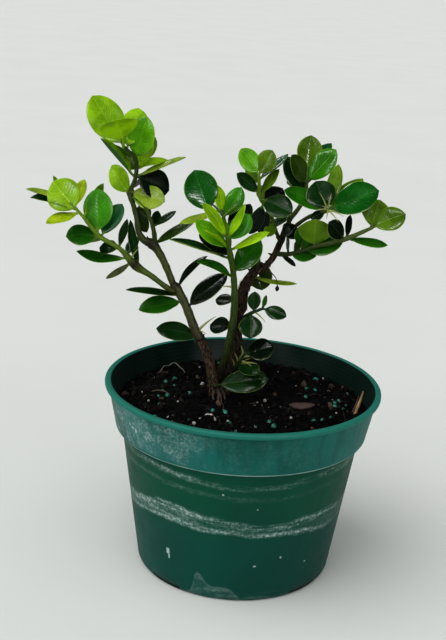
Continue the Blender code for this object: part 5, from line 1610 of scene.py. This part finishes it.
def make_chip():
    """A flat flake of bark: an oval whose outline wavers by two sines, split in two layers at its edge."""
    angle = spoke_angles(40)
    outline = 1 + 0.12 * np.sin(3 * angle + 0.6) + 0.07 * np.sin(7 * angle)
    turn = math.radians(CHIP_TURN_DEG)
    length, width, thickness = CHIP_SIZE
    rings = []
    for share, z in CHIP_LAYERS:
        px = share * outline * length / 2 * np.cos(angle)
        py = share * outline * width / 2 * np.sin(angle)
        rough = 0.12 * lumps(px, py, 1.2, 51) * (0 < z < 1.3)
        wave = 0.15 * np.sin(px * 0.25) if z > 1 else 0
        rings.append(np.column_stack([
            CHIP_CENTRE[0] + px * math.cos(turn) - py * math.sin(turn),
            CHIP_CENTRE[1] + px * math.sin(turn) + py * math.cos(turn),
            CHIP_BED_Z + GAP + z * thickness / CHIP_LAYERS[-1][1] + rough + wave,
        ]))
    rings = np.array(rings)
    skin = np.stack([rings[..., 1] * 0.6, rings[..., 2], rings[..., 0] * 2], -1)
    chip = Shells()
    chip.stack(rings, CHIP_TONE, skin)
    chip.make("bark_flake", fibre_finish("chip_bark", 0.25), "bark_chip", "bark_chip")


def make_stick():
    """A broken twig, split in two uneven splinters that thin with the cube of the way, one dark, one tan."""
    path = smooth_path(STICK_PATH, 8)
    t = np.linspace(0, 1, len(path))
    stick = Shells()
    for shift, reach, width, tone in SPLINTERS:
        part = path[t <= reach].copy()
        share = np.linspace(0, 1, len(part))
        part[:, 0] += shift * (0.5 + 0.9 * share)
        part[:, 3] *= width * (1 - 0.75 * share**3)
        rings, skin = barky(part, sides=14, rough=0.16, seed=61 + int(reach * 10))
        stick.stack(rings, tone, skin)
    stick.make("split_stick", fibre_finish("split_wood", 0.10), "stick", "stick")


def soft_lamp(name, kind, place, power, **settings):
    """A lamp that faces the plant's middle: a sun is a wide sky, and an area lamp a bright pane."""
    light = bpy.data.lights.new(name, kind)
    light.energy = power
    for key, value in settings.items():
        setattr(light, key, value)
    lamp = bpy.data.objects.new(name, light)
    lamp.location = place
    lamp.rotation_mode = "QUATERNION"
    lamp.rotation_quaternion = (Vector(LAMPS_FACE) - Vector(place)).to_track_quat("-Z", "Y")
    bpy.context.scene.collection.objects.link(lamp)
    return lamp


def make_studio():
    """A pale floor, an even pale surround, two wide skies and the panes that glint on the leaves."""
    floor_mesh = bpy.data.meshes.new("floor")
    corners = [(x * FLOOR_REACH, y * FLOOR_REACH, 0) for x, y in ((-1, -1), (1, -1), (1, 1), (-1, 1))]
    floor_mesh.from_pydata(corners, [], [(0, 1, 2, 3)])
    floor_mesh.materials.append(floor_finish())
    floor = bpy.data.objects.new("floor", floor_mesh)
    bpy.context.scene.collection.objects.link(floor)
    world = bpy.data.worlds.new("studio")
    world.use_nodes = True
    surround = world.node_tree.nodes["Background"]
    surround.inputs["Color"].default_value = SURROUND_COLOUR
    surround.inputs["Strength"].default_value = SURROUND_STRENGTH
    world.cycles_visibility.glossy = False
    bpy.context.scene.world = world
    for name, place, sky_deg, power, colour in SUNS:
        sun = soft_lamp(name, "SUN", place, power, angle=math.radians(sky_deg), color=colour)
        sun.visible_glossy = False
    for name, place, width, power in PANES:
        pane = soft_lamp(name, "AREA", place, power, size=width)
        pane.visible_diffuse = False
    view = bpy.context.scene.view_settings
    view.view_transform = "Standard"
    view.look = VIEW_LOOK


def make_camera():
    """The photo's viewpoint, from the rim, collar and base circles of the pot."""
    pitch, roll = math.radians(CAMERA_PITCH_DEG), math.radians(CAMERA_ROLL_DEG)
    ahead = Vector((0.0, math.cos(pitch), -math.sin(pitch)))
    right = Vector((1.0, 0.0, 0.0))
    up = right.cross(ahead)
    turned_right = right * math.cos(roll) + up * math.sin(roll)
    turned_up = up * math.cos(roll) - right * math.sin(roll)
    data = bpy.data.cameras.new("camera")
    data.lens = CAMERA_LENS
    data.sensor_width = CAMERA_SENSOR
    camera = bpy.data.objects.new("camera", data)
    axes = Matrix((turned_right, turned_up, -ahead)).transposed().to_4x4()
    camera.matrix_world = Matrix.Translation(Vector(CAMERA_PLACE)) @ axes
    bpy.context.scene.collection.objects.link(camera)
    bpy.context.scene.camera = camera


make_camera()
make_studio()
make_pot()
make_soil()
make_crumbs()
make_granules()
make_litter()
make_wood()
make_plant()
make_chip()
make_stick()
